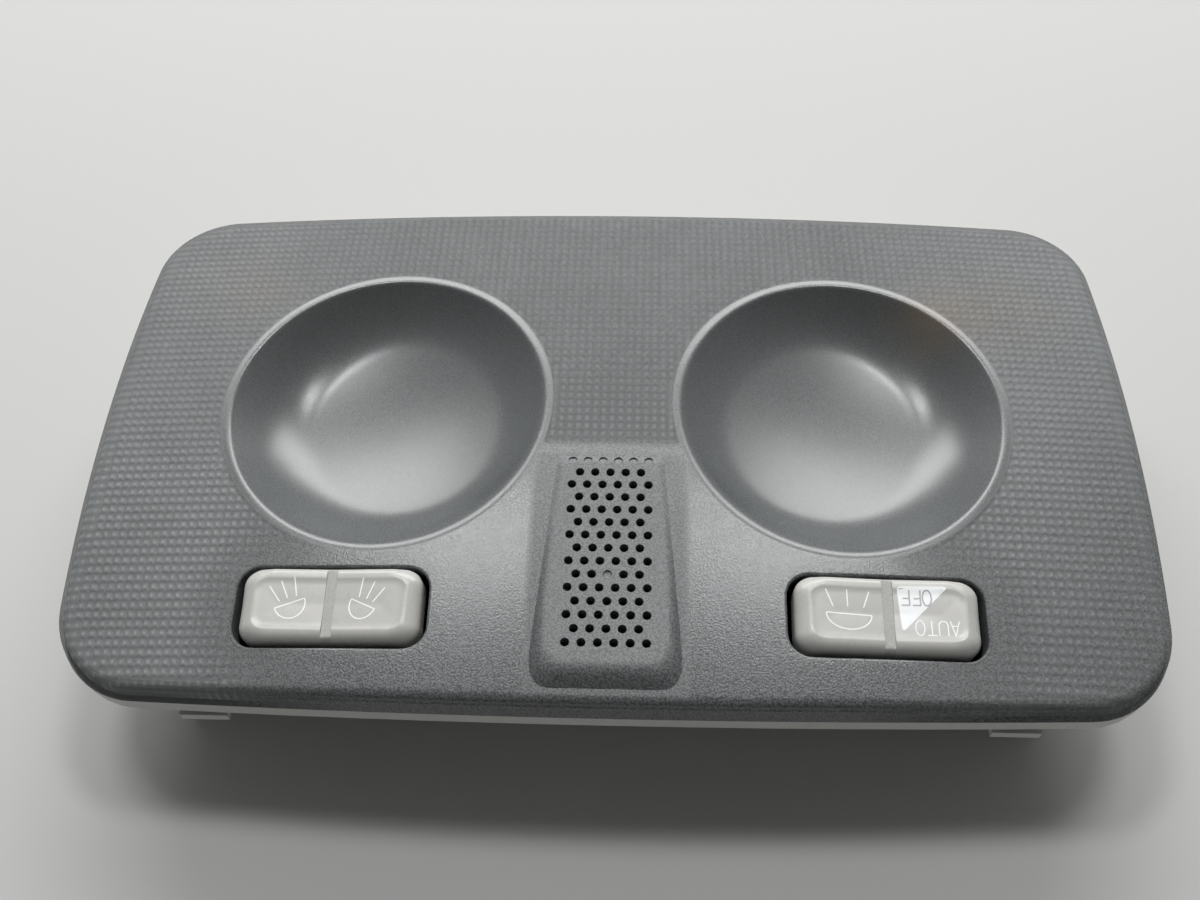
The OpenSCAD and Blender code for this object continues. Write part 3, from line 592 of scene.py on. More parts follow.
def make_key(side, name):
    """A key: rings that follow its rounded edge up to a grid of heights, a skirt and a stem below."""
    skin = Skin()
    half = np.concatenate([[0.5, 0.89, 0.95], np.arange(1.3, 12.4, 0.35)])
    stations_x = np.concatenate([-half[::-1], [0.0], half])
    stations_y = np.linspace(-KEY_FLAT_Y, KEY_FLAT_Y, 23)[1:-1]
    rounding = 2.3 * (1 - np.cos(np.radians(np.arange(0, 90, 7.5))))
    rings = [raised(key_loop(inset, stations_x, stations_y), KEY_BASE) for inset in (1.2, 0.0)]
    for inset in (*rounding, *np.linspace(2.2, KEY_CORNER, 8)):
        loop = key_loop(inset, stations_x, stations_y)
        rings.append(raised(loop, key_height(*loop.T, inset)))
    ids = skin.loft([at_key(side, r) for r in rings])
    skin.fan(ids[0], at_key(side, [[0, 0, KEY_BASE]])[0], True)
    gx = np.concatenate([[-KEY_FLAT_X], stations_x, [KEY_FLAT_X]])
    gy = np.concatenate([[-KEY_FLAT_Y], stations_y, [KEY_FLAT_Y]])
    x, y = (g.ravel() for g in np.meshgrid(gx, gy))
    inset = KEY_CORNER + np.minimum(KEY_FLAT_X - np.abs(x), KEY_FLAT_Y - np.abs(y))
    grid = skin.add(at_key(side, np.column_stack([x, y, key_height(x, y, inset)])))
    g = grid.reshape(len(gy), len(gx))
    a, b, c, d = (q.ravel() for q in (g[:-1, :-1], g[:-1, 1:], g[1:, 1:], g[1:, :-1]))
    skin.face(np.concatenate([np.stack([a, b, c], -1), np.stack([a, c, d], -1)]))
    skirt, inner = round_rect(14.5, 6.0, 0.8, 4), round_rect(13.3, 4.8, 0.4, 4)
    wide, slim, bore = (circle(r, turns(36)) for r in (3.2, 3.0, 2.05))
    over, under = KEY_BASE + 0.1, KEY_BASE - 0.1
    low = 0.99 * skirt
    tube(skin, side, [(skirt, over), (skirt, -8.7), (low, -9.0), (inner, -9.0), (inner, under)])
    tube(skin, side, [(wide, over), (wide, -11.8), (slim, -12.0), (bore, -12.0), (bore, under)])
    return skin.make(name, key_plastic(), sharp=38)


def tube(skin, side, steps):
    """A hollow wall below a key: rings that go down its outside and come up its inside."""
    skin.loft([at_key(side, raised(ring, z)) for ring, z in steps], True)


def on_key(side, flat):
    """Places of a key's own plan, laid on its top."""
    flat = np.asarray(flat, float)
    x, y = flat.T
    inset = np.minimum(KEY_HALF_X - np.abs(x), KEY_HALF_Y - np.abs(y))
    return at_key(side, raised(flat, key_height(x, y, inset) + PRINT_LIFT))


def stroke(skin, side, points, width):
    """A printed line: its middle line moved half a width to either side, laid on the key."""
    p = np.asarray(points, float)
    along = np.gradient(p, axis=0)
    along /= np.hypot(*along.T)[:, None]
    across = np.stack([-along[:, 1], along[:, 0]], -1) * width / 2
    a, b = (skin.add(on_key(side, p + s * across)) for s in (1, -1))
    skin.face(np.stack([b[:-1], b[1:], a[1:]], -1))
    skin.face(np.stack([b[:-1], a[1:], a[:-1]], -1))


def bow(start, end, sag, count=24):
    """A bowed line below start and end: the chord, with a half ellipse's sag at right angles."""
    start, end = np.asarray(start, float), np.asarray(end, float)
    t = np.linspace(0, np.pi, count)
    d = end - start
    out = np.array([d[1], -d[0]]) / np.hypot(*d)
    return start + (1 - np.cos(t))[:, None] / 2 * d + np.sin(t)[:, None] * sag * out


def lamp_sign(skin, side, start, end, sag, rays):
    """The sign of a lamp: a bowl of light under a straight edge, and rays above it."""
    stroke(skin, side, np.linspace(start, end, 12), SIGN_LINE)
    stroke(skin, side, bow(start, end, sag), SIGN_LINE)
    for ray in rays:
        stroke(skin, side, np.linspace(*ray, 8), SIGN_LINE)


def letter(sign):
    """The strokes of a letter in a cell one wide and one high."""
    t = np.linspace(0, 2 * np.pi, 29)
    ring = np.stack([0.5 + 0.5 * np.sin(t), 0.5 + 0.5 * np.cos(t)], -1)
    low = np.linspace(0, np.pi, 15)
    cup = np.stack([0.5 - 0.5 * np.cos(low), 0.32 - 0.32 * np.sin(low)], -1)
    return {
        "O": [ring],
        "F": [[(0, 0), (0, 1)], [(0, 0.98), (0.9, 0.98)], [(0, 0.54), (0.75, 0.54)]],
        "A": [[(0, 0), (0.5, 1)], [(0.5, 1), (1, 0)], [(0.18, 0.33), (0.82, 0.33)]],
        "U": [[(0, 1), (0, 0.3)], cup, [(1, 0.3), (1, 1)]],
        "T": [[(0.5, 0), (0.5, 1)], [(0, 0.98), (1, 0.98)]],
    }[sign]


def word(skin, side, text, corner, size, step, width):
    """A word that reads from the far side of the key: each letter's strokes turned half round,
    starting at the word's right end."""
    for k, sign in enumerate(text):
        for line in letter(sign):
            line = np.asarray(line, float)
            share = np.linspace(0, len(line) - 1, max(len(line), 6))
            line = np.stack([np.interp(share, np.arange(len(line)), line[:, i]) for i in (0, 1)], -1)
            place = np.asarray(corner) - [k * step, 0] - line * size
            stroke(skin, side, place, width)


def make_marks(side):
    """The white print of a key, and the grey word on its white patch: a triangle whose corners are
    rounded by a curve from one side to the next."""
    white, grey = Skin(), Skin()
    if side < 0:
        lamp_sign(white, side, (-9.35, -0.79), (-4.38, 1.12), 2.75,
                  [((-10.74, 3.22), (-8.64, 0.44)), ((-8.76, 4.19), (-7.33, 1.07)),
                   ((-6.52, 4.9), (-5.82, 1.46))])
        lamp_sign(white, side, (3.84, 1.02), (8.05, -0.84), 2.75,
                  [((5.61, 4.85), (5.17, 1.32)), ((7.68, 4.08), (6.48, 0.99)),
                   ((9.52, 2.98), (7.56, 0.37))])
        return [white.make("marks_left", white_print())]
    lamp_sign(white, side, (-10.6, 0.09), (-2.85, -0.22), 2.72,
              [((-10.59, 4.24), (-9.39, 1.2)), ((-6.95, 4.24), (-6.9, 1.22)),
               ((-3.13, 4.03), (-4.2, 1.16))])
    corners = np.array([(1.6, 5.2), (10.4, 5.25), (2.15, -3.0)])
    t = np.linspace(0, 1, 13)[:, None]
    loop = []
    for k in range(3):
        here, before, after = corners[k], corners[k - 1], corners[(k + 1) % 3]
        p, q = (here + (end - here) / np.hypot(*(end - here)) * 0.9 for end in (before, after))
        loop.append((1 - t) ** 2 * p + 2 * t * (1 - t) * here + t ** 2 * q)
    loop = even_loop(np.concatenate(loop)[::-1], 90)
    mid = loop.mean(0)
    ids = white.loft([on_key(side, mid + (loop - mid) * s) for s in (1, 0.8, 0.6, 0.4, 0.2)])
    white.fan(ids[-1], on_key(side, [mid])[0])
    word(white, side, "AUTO", (11.75, -0.85), (1.5, 2.6), 1.95, 0.19)
    word(grey, side, "OFF", (7.4, 4.55), (1.5, 2.75), 1.86, 0.27)
    grey.points = [p + np.array([0, 0, PRINT_LIFT]) for p in grey.points]
    return [white.make("marks_right", white_print()), grey.make("mark_off", grey_print())]


# Finishes


class Finish:
    """A material with a Principled shader, and short names for the nodes that patterns need."""

    def __init__(self, name, colour, roughness, metallic=0.0):
        self.mat = bpy.data.materials.new(name)
        self.mat.use_nodes = True
        self.nodes, self.links = self.mat.node_tree.nodes, self.mat.node_tree.links
        self.shader = self.nodes["Principled BSDF"]
        self.set("Base Color", (*colour[:3], 1.0))
        self.set("Roughness", roughness)
        self.set("Metallic", metallic)
        self.place = self.nodes.new("ShaderNodeTexCoord").outputs["Object"]

    def set(self, socket, value):
        self.shader.inputs[socket].default_value = value

    def to(self, socket, output):
        self.links.new(output, self.shader.inputs[socket])

    def node(self, kind, values=(), **options):
        """A new node, with its options, and its inputs set to numbers or linked to outputs."""
        n = self.nodes.new("ShaderNode" + kind)
        for key, value in options.items():
            setattr(n, key, value)
        for key, value in dict(values).items():
            if isinstance(value, bpy.types.NodeSocket):
                self.links.new(value, n.inputs[key])
            else:
                n.inputs[key].default_value = value
        return n

    def noise(self, scale, detail=2.0, rough=0.5, place=None):
        n = self.node("TexNoise", {"Vector": place or self.place, "Scale": scale, "Detail": detail,
                                   "Roughness": rough})
        return n.outputs["Fac"]

    def maths(self, operation, a, b=0.0, c=0.0, clamp=False):
        n = self.node("Math", {0: a, 1: b, 2: c}, operation=operation, use_clamp=clamp)
        return n.outputs[0]

    def span(self, value, from_low, from_high, to_low, to_high):
        """A value carried evenly from one range to another, and held at its ends."""
        n = self.node("MapRange", {"Value": value, "From Min": from_low, "From Max": from_high,
                                   "To Min": to_low, "To Max": to_high})
        return n.outputs["Result"]

    def blend(self, factor, a, b):
        """Two colours mixed by a factor."""
        n = self.node("Mix", data_type="RGBA")
        for key, value in ((0, factor), (6, a), (7, b)):
            if isinstance(value, bpy.types.NodeSocket):
                self.links.new(value, n.inputs[key])
            else:
                n.inputs[key].default_value = value if key == 0 else (*value[:3], 1.0)
        return n.outputs[2]

    def bump(self, height, strength, distance):
        values = {"Height": height, "Strength": strength, "Distance": distance}
        return self.node("Bump", values).outputs["Normal"]

    def scaled(self, colour, tone):
        """A colour made lighter or darker by a tone."""
        return self.node("VectorMath", {0: colour, "Scale": tone}, operation="SCALE").outputs[0]

    def over(self, share, other):
        """Puts a share of another shader over the finish's own."""
        mix = self.node("MixShader", {0: share, 1: self.shader.outputs[0], 2: other})
        self.links.new(mix.outputs[0], self.nodes["Material Output"].inputs["Surface"])

    def plan(self):
        """A place's X and Y, in metres."""
        n = self.node("SeparateXYZ", {"Vector": self.place})
        return n.outputs["X"], n.outputs["Y"]


def once(make):
    """Keeps the first material that a finish makes, so that later pieces share it."""
    kept = []

    def shared():
        if not kept:
            kept.append(make().mat)
        return kept[0]

    return shared


def around(f, x, y, centre, radii):
    """Distance of a place from a centre, in units of two radii."""
    dx = f.maths("DIVIDE", f.maths("SUBTRACT", x, centre[0] * MM), radii[0] * MM)
    dy = f.maths("DIVIDE", f.maths("SUBTRACT", y, centre[1] * MM), radii[1] * MM)
    return f.maths("SQRT", f.maths("ADD", f.maths("MULTIPLY", dx, dx), f.maths("MULTIPLY", dy, dy)))


@once
def smoked_plastic():
    """Satin smoked plastic with a fine grain: smoother in the dishes, on the island and on the plain
    ground round the keys, and part clear over the prisms."""
    look = bpy.context.scene.overhead_cover
    f = Finish("smoked_plastic", look.smoke, 0.34)
    x, y = f.plan()
    grain, fine, cloud = f.noise(3000.0, 1.0), f.noise(6000.0, 1.0), f.noise(24.0, 3.0)
    side_x = f.maths("ABSOLUTE", x)
    dish = f.span(around(f, side_x, y, (DISH_X, DISH_Y), (DISH_R, DISH_R)), 1.04, 1.06, 0.0, 1.0)
    sparkle = f.span(grain, 0.4, 0.6, f.span(dish, 0, 1, 0.86, 0.6), f.span(dish, 0, 1, 1.14, 1.5))
    tone = f.maths("MULTIPLY", sparkle, f.span(cloud, 0.3, 0.7, 0.93, 1.07))
    base = f.scaled(look.smoke, tone)
    # Stains are soft, and patchy within
    for place, radii, colour, share in STAINS:
        near = f.span(around(f, x, y, place, radii), 0.0, 1.0, share, 0.0)
        near = f.maths("MULTIPLY", near, f.span(f.noise(90.0, 4.0), 0.35, 0.7, 0.2, 1.0), clamp=True)
        base = f.blend(near, base, colour)
    f.to("Base Color", base)
    f.to("Normal", f.bump(grain, f.span(dish, 0, 1, 0.06, 0.32), 0.0001))
    f.set("Specular IOR Level", 0.75)
    # The face proper is 1, and the ground round the keys and the island are 0
    isle_x, isle_y, isle_mid = 0.0145, 0.0242, -0.03
    isle = f.maths("MAXIMUM", f.maths("DIVIDE", side_x, isle_x),
                   f.maths("DIVIDE", f.maths("ABSOLUTE", f.maths("SUBTRACT", y, isle_mid)), isle_y))
    face = f.span(around(f, x, y, (0, -38), (55, 27)), 0.95, 1.35, 0.0, 1.0)
    face = f.maths("MINIMUM", face, f.span(isle, 0.98, 1.06, 0.0, 1.0))
    plain = f.span(isle, 0.9, 1.0, 0.5, look.plain_gloss)
    satin = f.node("Mix", {0: face, 2: plain, 3: look.face_gloss}).outputs[0]
    rough = f.node("Mix", {0: dish, 2: look.dish_gloss, 3: satin}).outputs[0]
    f.to("Roughness", f.maths("ADD", rough, f.span(fine, 0.3, 0.7, -0.05, 0.05)))
    # The face lets less light through towards its low right corner
    low_right = f.span(f.maths("MULTIPLY_ADD", y, -0.8, x), 0.08, 0.14, 1.0, 0.6)
    clear = f.maths("MULTIPLY", f.maths("MULTIPLY", face, low_right, clamp=True), look.clearness)
    f.over(f.maths("MULTIPLY", clear, dish), f.node("BsdfTransparent").outputs[0])
    return f


@once
def prism_plastic():
    """Pale plastic behind the smoked wall, with painted light and shade of the crossed flutes in its
    colour: bright and dark lines across the width at the sides, lines along the height at the middle,
    and painted bright dots towards the switches. It is darker at the middle."""
    cover = bpy.context.scene.overhead_cover
    pale = (0.5, 0.52, 0.52)
    f = Finish("prism_plastic", pale, 0.4)
    x, y = f.plan()
    across = f.maths("COSINE", f.maths("MULTIPLY", x, 2 * math.pi / cover.prism_pitch_x))
    along = f.maths("COSINE", f.maths("MULTIPLY", y, 2 * math.pi / cover.prism_pitch_y))
    middle = f.span(f.maths("ABSOLUTE", x), 0.045, 0.075, 1.0, 0.15)
    low = f.span(y, -0.012, 0.008, 1.0, 0.0)
    dots = f.maths("MULTIPLY", f.maths("MAXIMUM", across, 0.0), f.maths("MAXIMUM", along, 0.0))
    sides = f.span(middle, 0, 1, 1.0, 0.3)
    # Painted light and shade: the flutes' bright and dark bands and their bright dots of gathered light
    # are put into the colour
    lines, dot_highlight = 0.24, 0.7
    tone = f.maths("MULTIPLY_ADD", f.maths("MULTIPLY", across, middle), lines, 1.0)
    tone = f.maths("MULTIPLY_ADD", f.maths("MULTIPLY", along, sides), lines, tone)
    tone = f.maths("MULTIPLY_ADD", f.maths("MULTIPLY", dots, low), dot_highlight, tone)
    tone = f.maths("MULTIPLY", tone, f.span(f.noise(60.0, 3.0), 0.3, 0.7, 0.9, 1.1))
    tone = f.maths("MULTIPLY", tone, f.span(middle, 0, 1, 1.05, 0.72))
    f.to("Base Color", f.scaled(pale, tone))
    f.to("Roughness", f.span(f.noise(300.0), 0.3, 0.7, 0.3, 0.45))
    return f


@once
def key_plastic():
    """Smooth grey plastic, a little grubby, with a grainy groove across the middle of each key."""
    look = bpy.context.scene.overhead_keys
    f = Finish("key_plastic", look.colour, 0.3)
    x, _ = f.plan()
    wear, fine = f.noise(220.0, 5.0, 0.6), f.noise(3800.0, 2.0)
    groove = f.maths("ABSOLUTE", f.maths("SUBTRACT", f.maths("ABSOLUTE", x), KEY_X * MM))
    groove = f.span(groove, (GROOVE_HALF - 0.07) * MM, (GROOVE_HALF + 0.03) * MM, 1.0, 0.0)
    warm = f.blend(f.span(wear, 0.45, 0.75, 0.0, 0.3), look.colour, (0.45, 0.42, 0.37))
    pits = f.span(fine, 0.35, 0.6, 0.72, 0.92)
    f.to("Base Color", f.blend(groove, warm, f.scaled(warm, pits)))
    f.to("Roughness", f.maths("MULTIPLY_ADD", groove, 0.25, f.span(wear, 0.3, 0.7, 0.22, 0.36)))
    f.to("Normal", f.bump(fine, f.span(groove, 0, 1, 0.03, 0.5), 0.00006))
    return f


def speckled(name, colour, metallic, scale, detail, smooth, rough):
    """A finish whose roughness runs between two values over a noise of a scale and detail."""
    f = Finish(name, colour, (smooth + rough) / 2, metallic)
    f.to("Roughness", f.span(f.noise(scale, detail), 0.3, 0.7, smooth, rough))
    return f


@once
def white_print():
    """White ink of the signs and of the patch under the word."""
    return speckled("white_print", (0.82, 0.84, 0.84), 0.0, 900.0, 2.0, 0.3, 0.45)


@once
def grey_print():
    """Grey ink of the word on the white patch."""
    return speckled("grey_print", (0.4, 0.41, 0.42), 0.0, 900.0, 2.0, 0.35, 0.5)


@once
def drawn_metal():
    """Bright drawn metal of the bulbs' caps and the microphone's can."""
    return speckled("drawn_metal", (0.62, 0.62, 0.62), 1.0, 400.0, 4.0, 0.18, 0.36)


@once
def tungsten_wire():
    """Dark wire of the filaments."""
    return speckled("tungsten_wire", (0.12, 0.12, 0.13), 1.0, 2000.0, 2.0, 0.3, 0.5)


@once
def black_rubber():
    """Soft dull rubber of the microphone's boot."""
    return speckled("black_rubber", (0.015, 0.015, 0.015), 0.0, 700.0, 3.0, 0.6, 0.8)


@once
def grey_plastic():
    """Light grey moulded plastic of the tray and its flap, yellowed in clouds, with a fine grain."""
    fresh, aged = (0.6, 0.6, 0.58), (0.5, 0.49, 0.46)
    f = Finish("grey_plastic", fresh, 0.5)
    cloud, fine = f.noise(40.0, 4.0), f.noise(2200.0, 2.0)
    f.to("Base Color", f.blend(f.span(cloud, 0.4, 0.75, 0.0, 0.4), fresh, aged))
    f.to("Roughness", f.span(fine, 0.3, 0.7, 0.42, 0.58))
    f.to("Normal", f.bump(fine, 0.15, 0.00008))
    return f


@once
def black_plastic():
    """Black moulded plastic of the switches' insides, with a fine grain."""
    f = Finish("black_plastic", (0.018, 0.018, 0.02), 0.45)
    fine = f.noise(1800.0, 2.0)
    f.to("Roughness", f.span(fine, 0.3, 0.7, 0.38, 0.55))
    f.to("Normal", f.bump(fine, 0.12, 0.00006))
    return f


@once
def strip_brass():
    """Stamped brass, tarnished in patches that are browner and duller."""
    bright, dull = (0.68, 0.49, 0.22), (0.4, 0.26, 0.12)
    f = Finish("strip_brass", bright, 0.3, 1.0)
    tarnish = f.noise(160.0, 5.0, 0.65)
    f.to("Base Color", f.blend(f.span(tarnish, 0.45, 0.7, 0.0, 0.6), bright, dull))
    f.to("Roughness", f.span(tarnish, 0.3, 0.7, 0.22, 0.45))
    return f


@once
def spring_steel():
    """Rolled spring steel, with faint streaks along the roll."""
    f = Finish("spring_steel", (0.5, 0.51, 0.52), 0.28, 1.0)
    streak = f.node("Mapping", {"Vector": f.place, "Scale": (9.0, 1.0, 1.0)}).outputs[0]
    lines = f.noise(420.0, 2.0, 0.5, streak)
    f.to("Roughness", f.span(lines, 0.3, 0.7, 0.26, 0.36))
    f.to("Normal", f.bump(lines, 0.02, 0.00002))
    return f


@once
def bulb_glass():
    """Thin clear glass of the bulbs."""
    f = Finish("bulb_glass", (1.0, 1.0, 1.0), 0.02)
    f.set("Transmission Weight", 1.0)
    f.set("IOR", 1.1)
    f.to("Roughness", f.span(f.noise(60.0, 3.0), 0.4, 0.8, 0.01, 0.05))
    return f


@once
def black_foam():
    """Open foam behind the grille, darker at the walls of its cells."""
    f = Finish("black_foam", (0.012, 0.012, 0.012), 0.95)
    cells = f.node("TexVoronoi", {"Vector": f.place, "Scale": 1400.0}).outputs["Distance"]
    f.to("Normal", f.bump(cells, 0.8, 0.0003))
    f.to("Base Color", f.blend(cells, (0.03, 0.03, 0.03), (0.006, 0.006, 0.006)))
    return f


@once
def circuit_board():
    """Green board with the weave of its glass cloth."""
    dark, light = (0.03, 0.13, 0.05), (0.05, 0.2, 0.08)
    f = Finish("circuit_board", dark, 0.35)
    weave = f.node("TexWave", {"Vector": f.place, "Scale": 600.0, "Distortion": 1.0}).outputs["Fac"]
    f.to("Base Color", f.blend(f.span(weave, 0, 1, 0.0, 0.35), dark, light))
    return f


NODE_FINISH = {
    "rear_housing": grey_plastic, "bulb_flap": grey_plastic, "switch_frame": black_plastic,
    "plunger": black_plastic, "plunger_spring": spring_steel, "seesaw": strip_brass,
    "fulcrum": strip_brass, "contacts": strip_brass, "bulb_glass": bulb_glass,
    "bulb_caps": drawn_metal, "filament": tungsten_wire, "bulb_clips": strip_brass,
    "bus_supply": strip_brass, "bus_ground": strip_brass, "bus_door": strip_brass,
    "bus_lamp": strip_brass, "spring_clip": spring_steel, "grille_foam": black_foam,
    "mic_boot": black_rubber, "mic_capsule": drawn_metal, "mic_board": circuit_board,
}


# The stage


def make_floor():
    """A plain pale floor that the light lies on. Far out it shows its pale colour evenly, so that it
    meets the background."""
    mesh = bpy.data.meshes.new("floor")
    reach = 3.0
    corners = [(sx * reach, sy * reach, 0) for sx, sy in ((-1, -1), (1, -1), (1, 1), (-1, 1))]
    mesh.from_pydata(corners, [], [(0, 1, 2, 3)])
    floor = bpy.data.objects.new("floor", mesh)
    bpy.context.scene.collection.objects.link(floor)
    look = bpy.context.scene.overhead_stage
    f = Finish("floor_paint", look.floor, 0.7)
    f.set("Specular IOR Level", 0.2)
    x, y = f.plan()
    far = f.span(around(f, x, y, (0, 0), (1000, 1000)), 0.35, 1.3, 0.0, 1.0)
    seen = f.node("LightPath").outputs["Is Camera Ray"]
    f.over(f.maths("MULTIPLY", far, seen), f.node("Emission", {"Color": BACKDROP}).outputs[0])
    mesh.materials.append(f.mat)


def area_lamp(name, place, size, power):
    """A soft lamp at a place, turned to the middle of the face."""
    data = bpy.data.lights.new(name, "AREA")
    data.shape = "RECTANGLE"
    data.size, data.size_y = size
    data.energy = power
    lamp = bpy.data.objects.new(name, data)
    lamp.location = place
    lamp.rotation_mode = "QUATERNION"
    lamp.rotation_quaternion = (Vector((0, 0, 0.03)) - Vector(place)).to_track_quat("-Z", "Y")
    bpy.context.scene.collection.objects.link(lamp)


def make_world(strength):
    """Plain grey surroundings, brighter beyond the light than on the camera's side. The camera sees
    them as one pale tone."""
    world = bpy.data.worlds.new("studio")
    bpy.context.scene.world = world
    world.use_nodes = True
    nodes, links = world.node_tree.nodes, world.node_tree.links
    back = nodes["Background"]
    way = nodes.new("ShaderNodeTexCoord").outputs["Generated"]
    split = nodes.new("ShaderNodeSeparateXYZ")
    links.new(way, split.inputs[0])
    ramp = nodes.new("ShaderNodeMapRange")
    ramp.interpolation_type = "SMOOTHSTEP"
    for key, value in (("From Min", -0.2), ("From Max", 0.9), ("To Min", 0.2), ("To Max", 1.0)):
        ramp.inputs[key].default_value = value
    links.new(split.outputs["Y"], ramp.inputs["Value"])
    links.new(ramp.outputs["Result"], back.inputs["Color"])
    back.inputs["Strength"].default_value = strength
    seen = nodes.new("ShaderNodeLightPath").outputs["Is Camera Ray"]
    pale = nodes.new("ShaderNodeBackground")
    pale.inputs["Color"].default_value = BACKDROP
    mix = nodes.new("ShaderNodeMixShader")
    for key, socket in enumerate((seen, back.outputs[0], pale.outputs[0])):
        links.new(socket, mix.inputs[key])
    links.new(mix.outputs[0], nodes["World Output"].inputs["Surface"])


def make_camera():
    """The camera stands where the photograph was taken from."""
    data = bpy.data.cameras.new("camera")
    data.sensor_width, data.lens = 36.0, 37.5
    data.clip_start, data.clip_end = 0.01, 20.0
    camera = bpy.data.objects.new("camera", data)
    place = Vector((5.96, -128.22, 230.94)) * MM
    right = Vector((0.9993, 0.031, -0.022)).normalized()
    back = Vector((0.0351, -0.5319, 0.8461)).normalized()
    up = back.cross(right).normalized()
    turn = Matrix((up.cross(back), up, back)).transposed().to_4x4()
    camera.matrix_world = Matrix.Translation(place) @ turn
    bpy.context.scene.collection.objects.link(camera)
    bpy.context.scene.camera = camera


# The add-on


class CoverSettings(bpy.types.PropertyGroup):
    """Sizes and colours of the cover."""

    wall: bpy.props.FloatProperty(name="Wall", description="Thickness of the cover", default=0.0022,
                                  unit="LENGTH")
    dish_slope: bpy.props.FloatProperty(name="Dish wall", description="Slope of a dish's wall",
                                        default=math.radians(40), unit="ROTATION")
    dish_depth: bpy.props.FloatProperty(name="Dish depth", description="Depth of a dish at its deepest",
                                        default=0.0088, unit="LENGTH")
    floor_radius: bpy.props.FloatProperty(name="Floor radius", description="Radius of a dish's floor",
                                          default=0.105, unit="LENGTH")
    floor_shift: bpy.props.FloatProperty(name="Floor shift", default=0.008, unit="LENGTH",
                                         description="How far outwards the deepest place lies")
    prism_pitch_x: bpy.props.FloatProperty(name="Prism pitch across", default=0.00157, unit="LENGTH",
                                           description="Step of the prisms across the width")
    prism_pitch_y: bpy.props.FloatProperty(name="Prism pitch up", default=0.0017, unit="LENGTH",
                                           description="Step of the prisms along the height")
    clearness: bpy.props.FloatProperty(name="Clearness", default=0.42, min=0, max=1, subtype="FACTOR",
                                       description="Share of light that the cover lets through")
    dish_gloss: bpy.props.FloatProperty(name="Dish roughness", description="Roughness inside a dish",
                                        default=0.28, min=0, max=1, subtype="FACTOR")
    face_gloss: bpy.props.FloatProperty(name="Face roughness", description="Roughness of the face",
                                        default=0.8, min=0, max=1, subtype="FACTOR")
    plain_gloss: bpy.props.FloatProperty(name="Plain roughness", default=0.29, min=0, max=1,
                                         description="Roughness of the ground round the keys",
                                         subtype="FACTOR")
    smoke: bpy.props.FloatVectorProperty(name="Smoke", description="Colour of the cover",
                                         default=(0.08, 0.086, 0.087), size=3, subtype="COLOR")


class KeySettings(bpy.types.PropertyGroup):
    """Colours of the keys."""

    colour: bpy.props.FloatVectorProperty(name="Key", description="Colour of the keys",
                                          default=(0.44, 0.44, 0.42), size=3, subtype="COLOR")


class StageSettings(bpy.types.PropertyGroup):
    """Colour and light of the stage."""

    floor: bpy.props.FloatVectorProperty(name="Floor", description="Colour of the floor",
                                         default=(0.52, 0.52, 0.51), size=3, subtype="COLOR")
    surround: bpy.props.FloatProperty(name="Surroundings", default=0.5,
                                      description="Strength of the light from all round")
    lamp_power: bpy.props.FloatProperty(name="Far lamp", default=18.5, unit="POWER",
                                        description="Power of the wide soft lamp beyond the light")
    over_power: bpy.props.FloatProperty(name="Upper lamp", default=7.5, unit="POWER",
                                        description="Power of the two soft lamps overhead")


class LIGHT_OT_cover(bpy.types.Operator):
    """Make the smoked cover"""

    bl_idname = "overhead.cover"
    bl_label = "Cover"

    def execute(self, context):
        make_cover()
        return {"FINISHED"}


class LIGHT_OT_prisms(bpy.types.Operator):
    """Make the prisms inside the cover"""

    bl_idname = "overhead.prisms"
    bl_label = "Prisms"

    def execute(self, context):
        make_prisms()
        return {"FINISHED"}


class LIGHT_OT_keys(bpy.types.Operator):
    """Make the two rocker keys and their printed marks"""

    bl_idname = "overhead.keys"
    bl_label = "Keys"

    def execute(self, context):
        for side, name in ((-1, "left"), (1, "right")):
            key = make_key(side, f"key_cap_{name}")
            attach(key, f"key_{name}")
            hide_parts(f"rocker_{name}")
            for mark in make_marks(side):
                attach(mark, f"key_{name}")
        return {"FINISHED"}


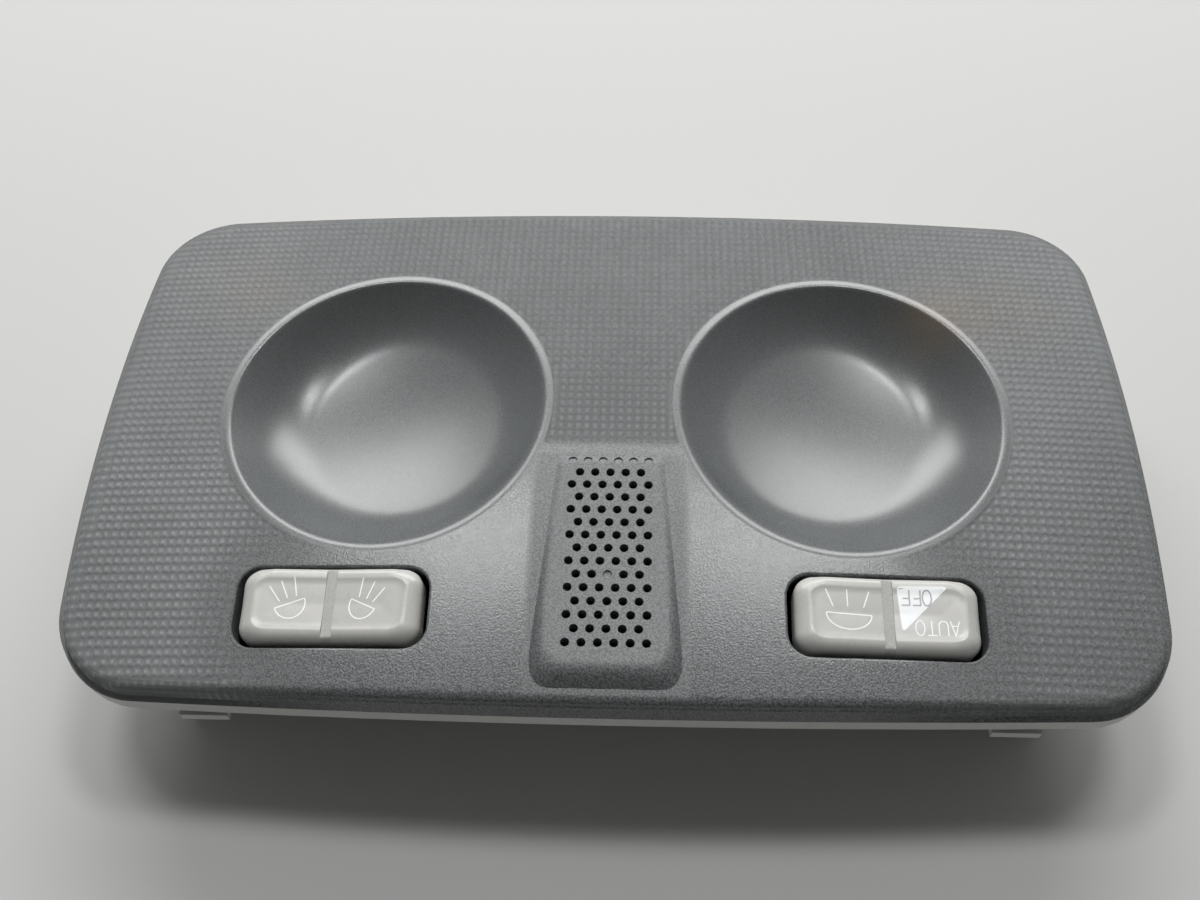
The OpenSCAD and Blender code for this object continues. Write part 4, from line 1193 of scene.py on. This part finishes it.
class LIGHT_OT_finishes(bpy.types.Operator):
    """Give every piece behind the cover its finish"""

    bl_idname = "overhead.finishes"
    bl_label = "Finishes"

    def execute(self, context):
        for name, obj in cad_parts.items():
            finish = NODE_FINISH.get(name) or NODE_FINISH.get(name.rsplit("_", 1)[0])
            if finish is None:
                continue
            for slot in obj.material_slots:
                slot.material = finish()
        return {"FINISHED"}


class LIGHT_OT_stage(bpy.types.Operator):
    """Make the floor, the lamps, the surroundings and the camera"""

    bl_idname = "overhead.stage"
    bl_label = "Stage"

    def execute(self, context):
        look = context.scene.overhead_stage
        make_floor()
        make_world(look.surround)
        area_lamp("lamp_far", (-0.03, 1.0, 0.85), (1.5, 0.5), look.lamp_power)
        for side, name in ((-1, "left"), (1, "right")):
            place = (0.24 * side - 0.01, 0.42, 1.22)
            area_lamp(f"lamp_over_{name}", place, (0.3, 0.17), look.over_power / 2)
        make_camera()
        context.scene.view_settings.view_transform = "Standard"
        return {"FINISHED"}


class LIGHT_PT_panel(bpy.types.Panel):
    """Lists the pieces and their settings"""

    bl_idname = "LIGHT_PT_panel"
    bl_label = "Overhead light"
    bl_space_type = "VIEW_3D"
    bl_region_type = "UI"
    bl_category = "Overhead light"

    def draw(self, context):
        for name, kind in GROUPS:
            box = self.layout.box()
            for setting in kind.__annotations__:
                box.prop(getattr(context.scene, name), setting)
        for step in STEPS:
            self.layout.operator(step.bl_idname)


STEPS = (LIGHT_OT_cover, LIGHT_OT_prisms, LIGHT_OT_keys, LIGHT_OT_finishes, LIGHT_OT_stage)
GROUPS = (
    ("overhead_cover", CoverSettings),
    ("overhead_keys", KeySettings),
    ("overhead_stage", StageSettings),
)


def register():
    for name, group in GROUPS:
        bpy.utils.register_class(group)
        setattr(bpy.types.Scene, name, bpy.props.PointerProperty(type=group))
    for cls in (*STEPS, LIGHT_PT_panel):
        bpy.utils.register_class(cls)


def unregister():
    for cls in (LIGHT_PT_panel, *reversed(STEPS)):
        bpy.utils.unregister_class(cls)
    for name, group in reversed(GROUPS):
        delattr(bpy.types.Scene, name)
        bpy.utils.unregister_class(group)


def main():
    """Makes every piece in order."""
    register()
    for step in STEPS:
        group, name = step.bl_idname.split(".")
        getattr(getattr(bpy.ops, group), name)()


if __name__ == "__main__":
    main()
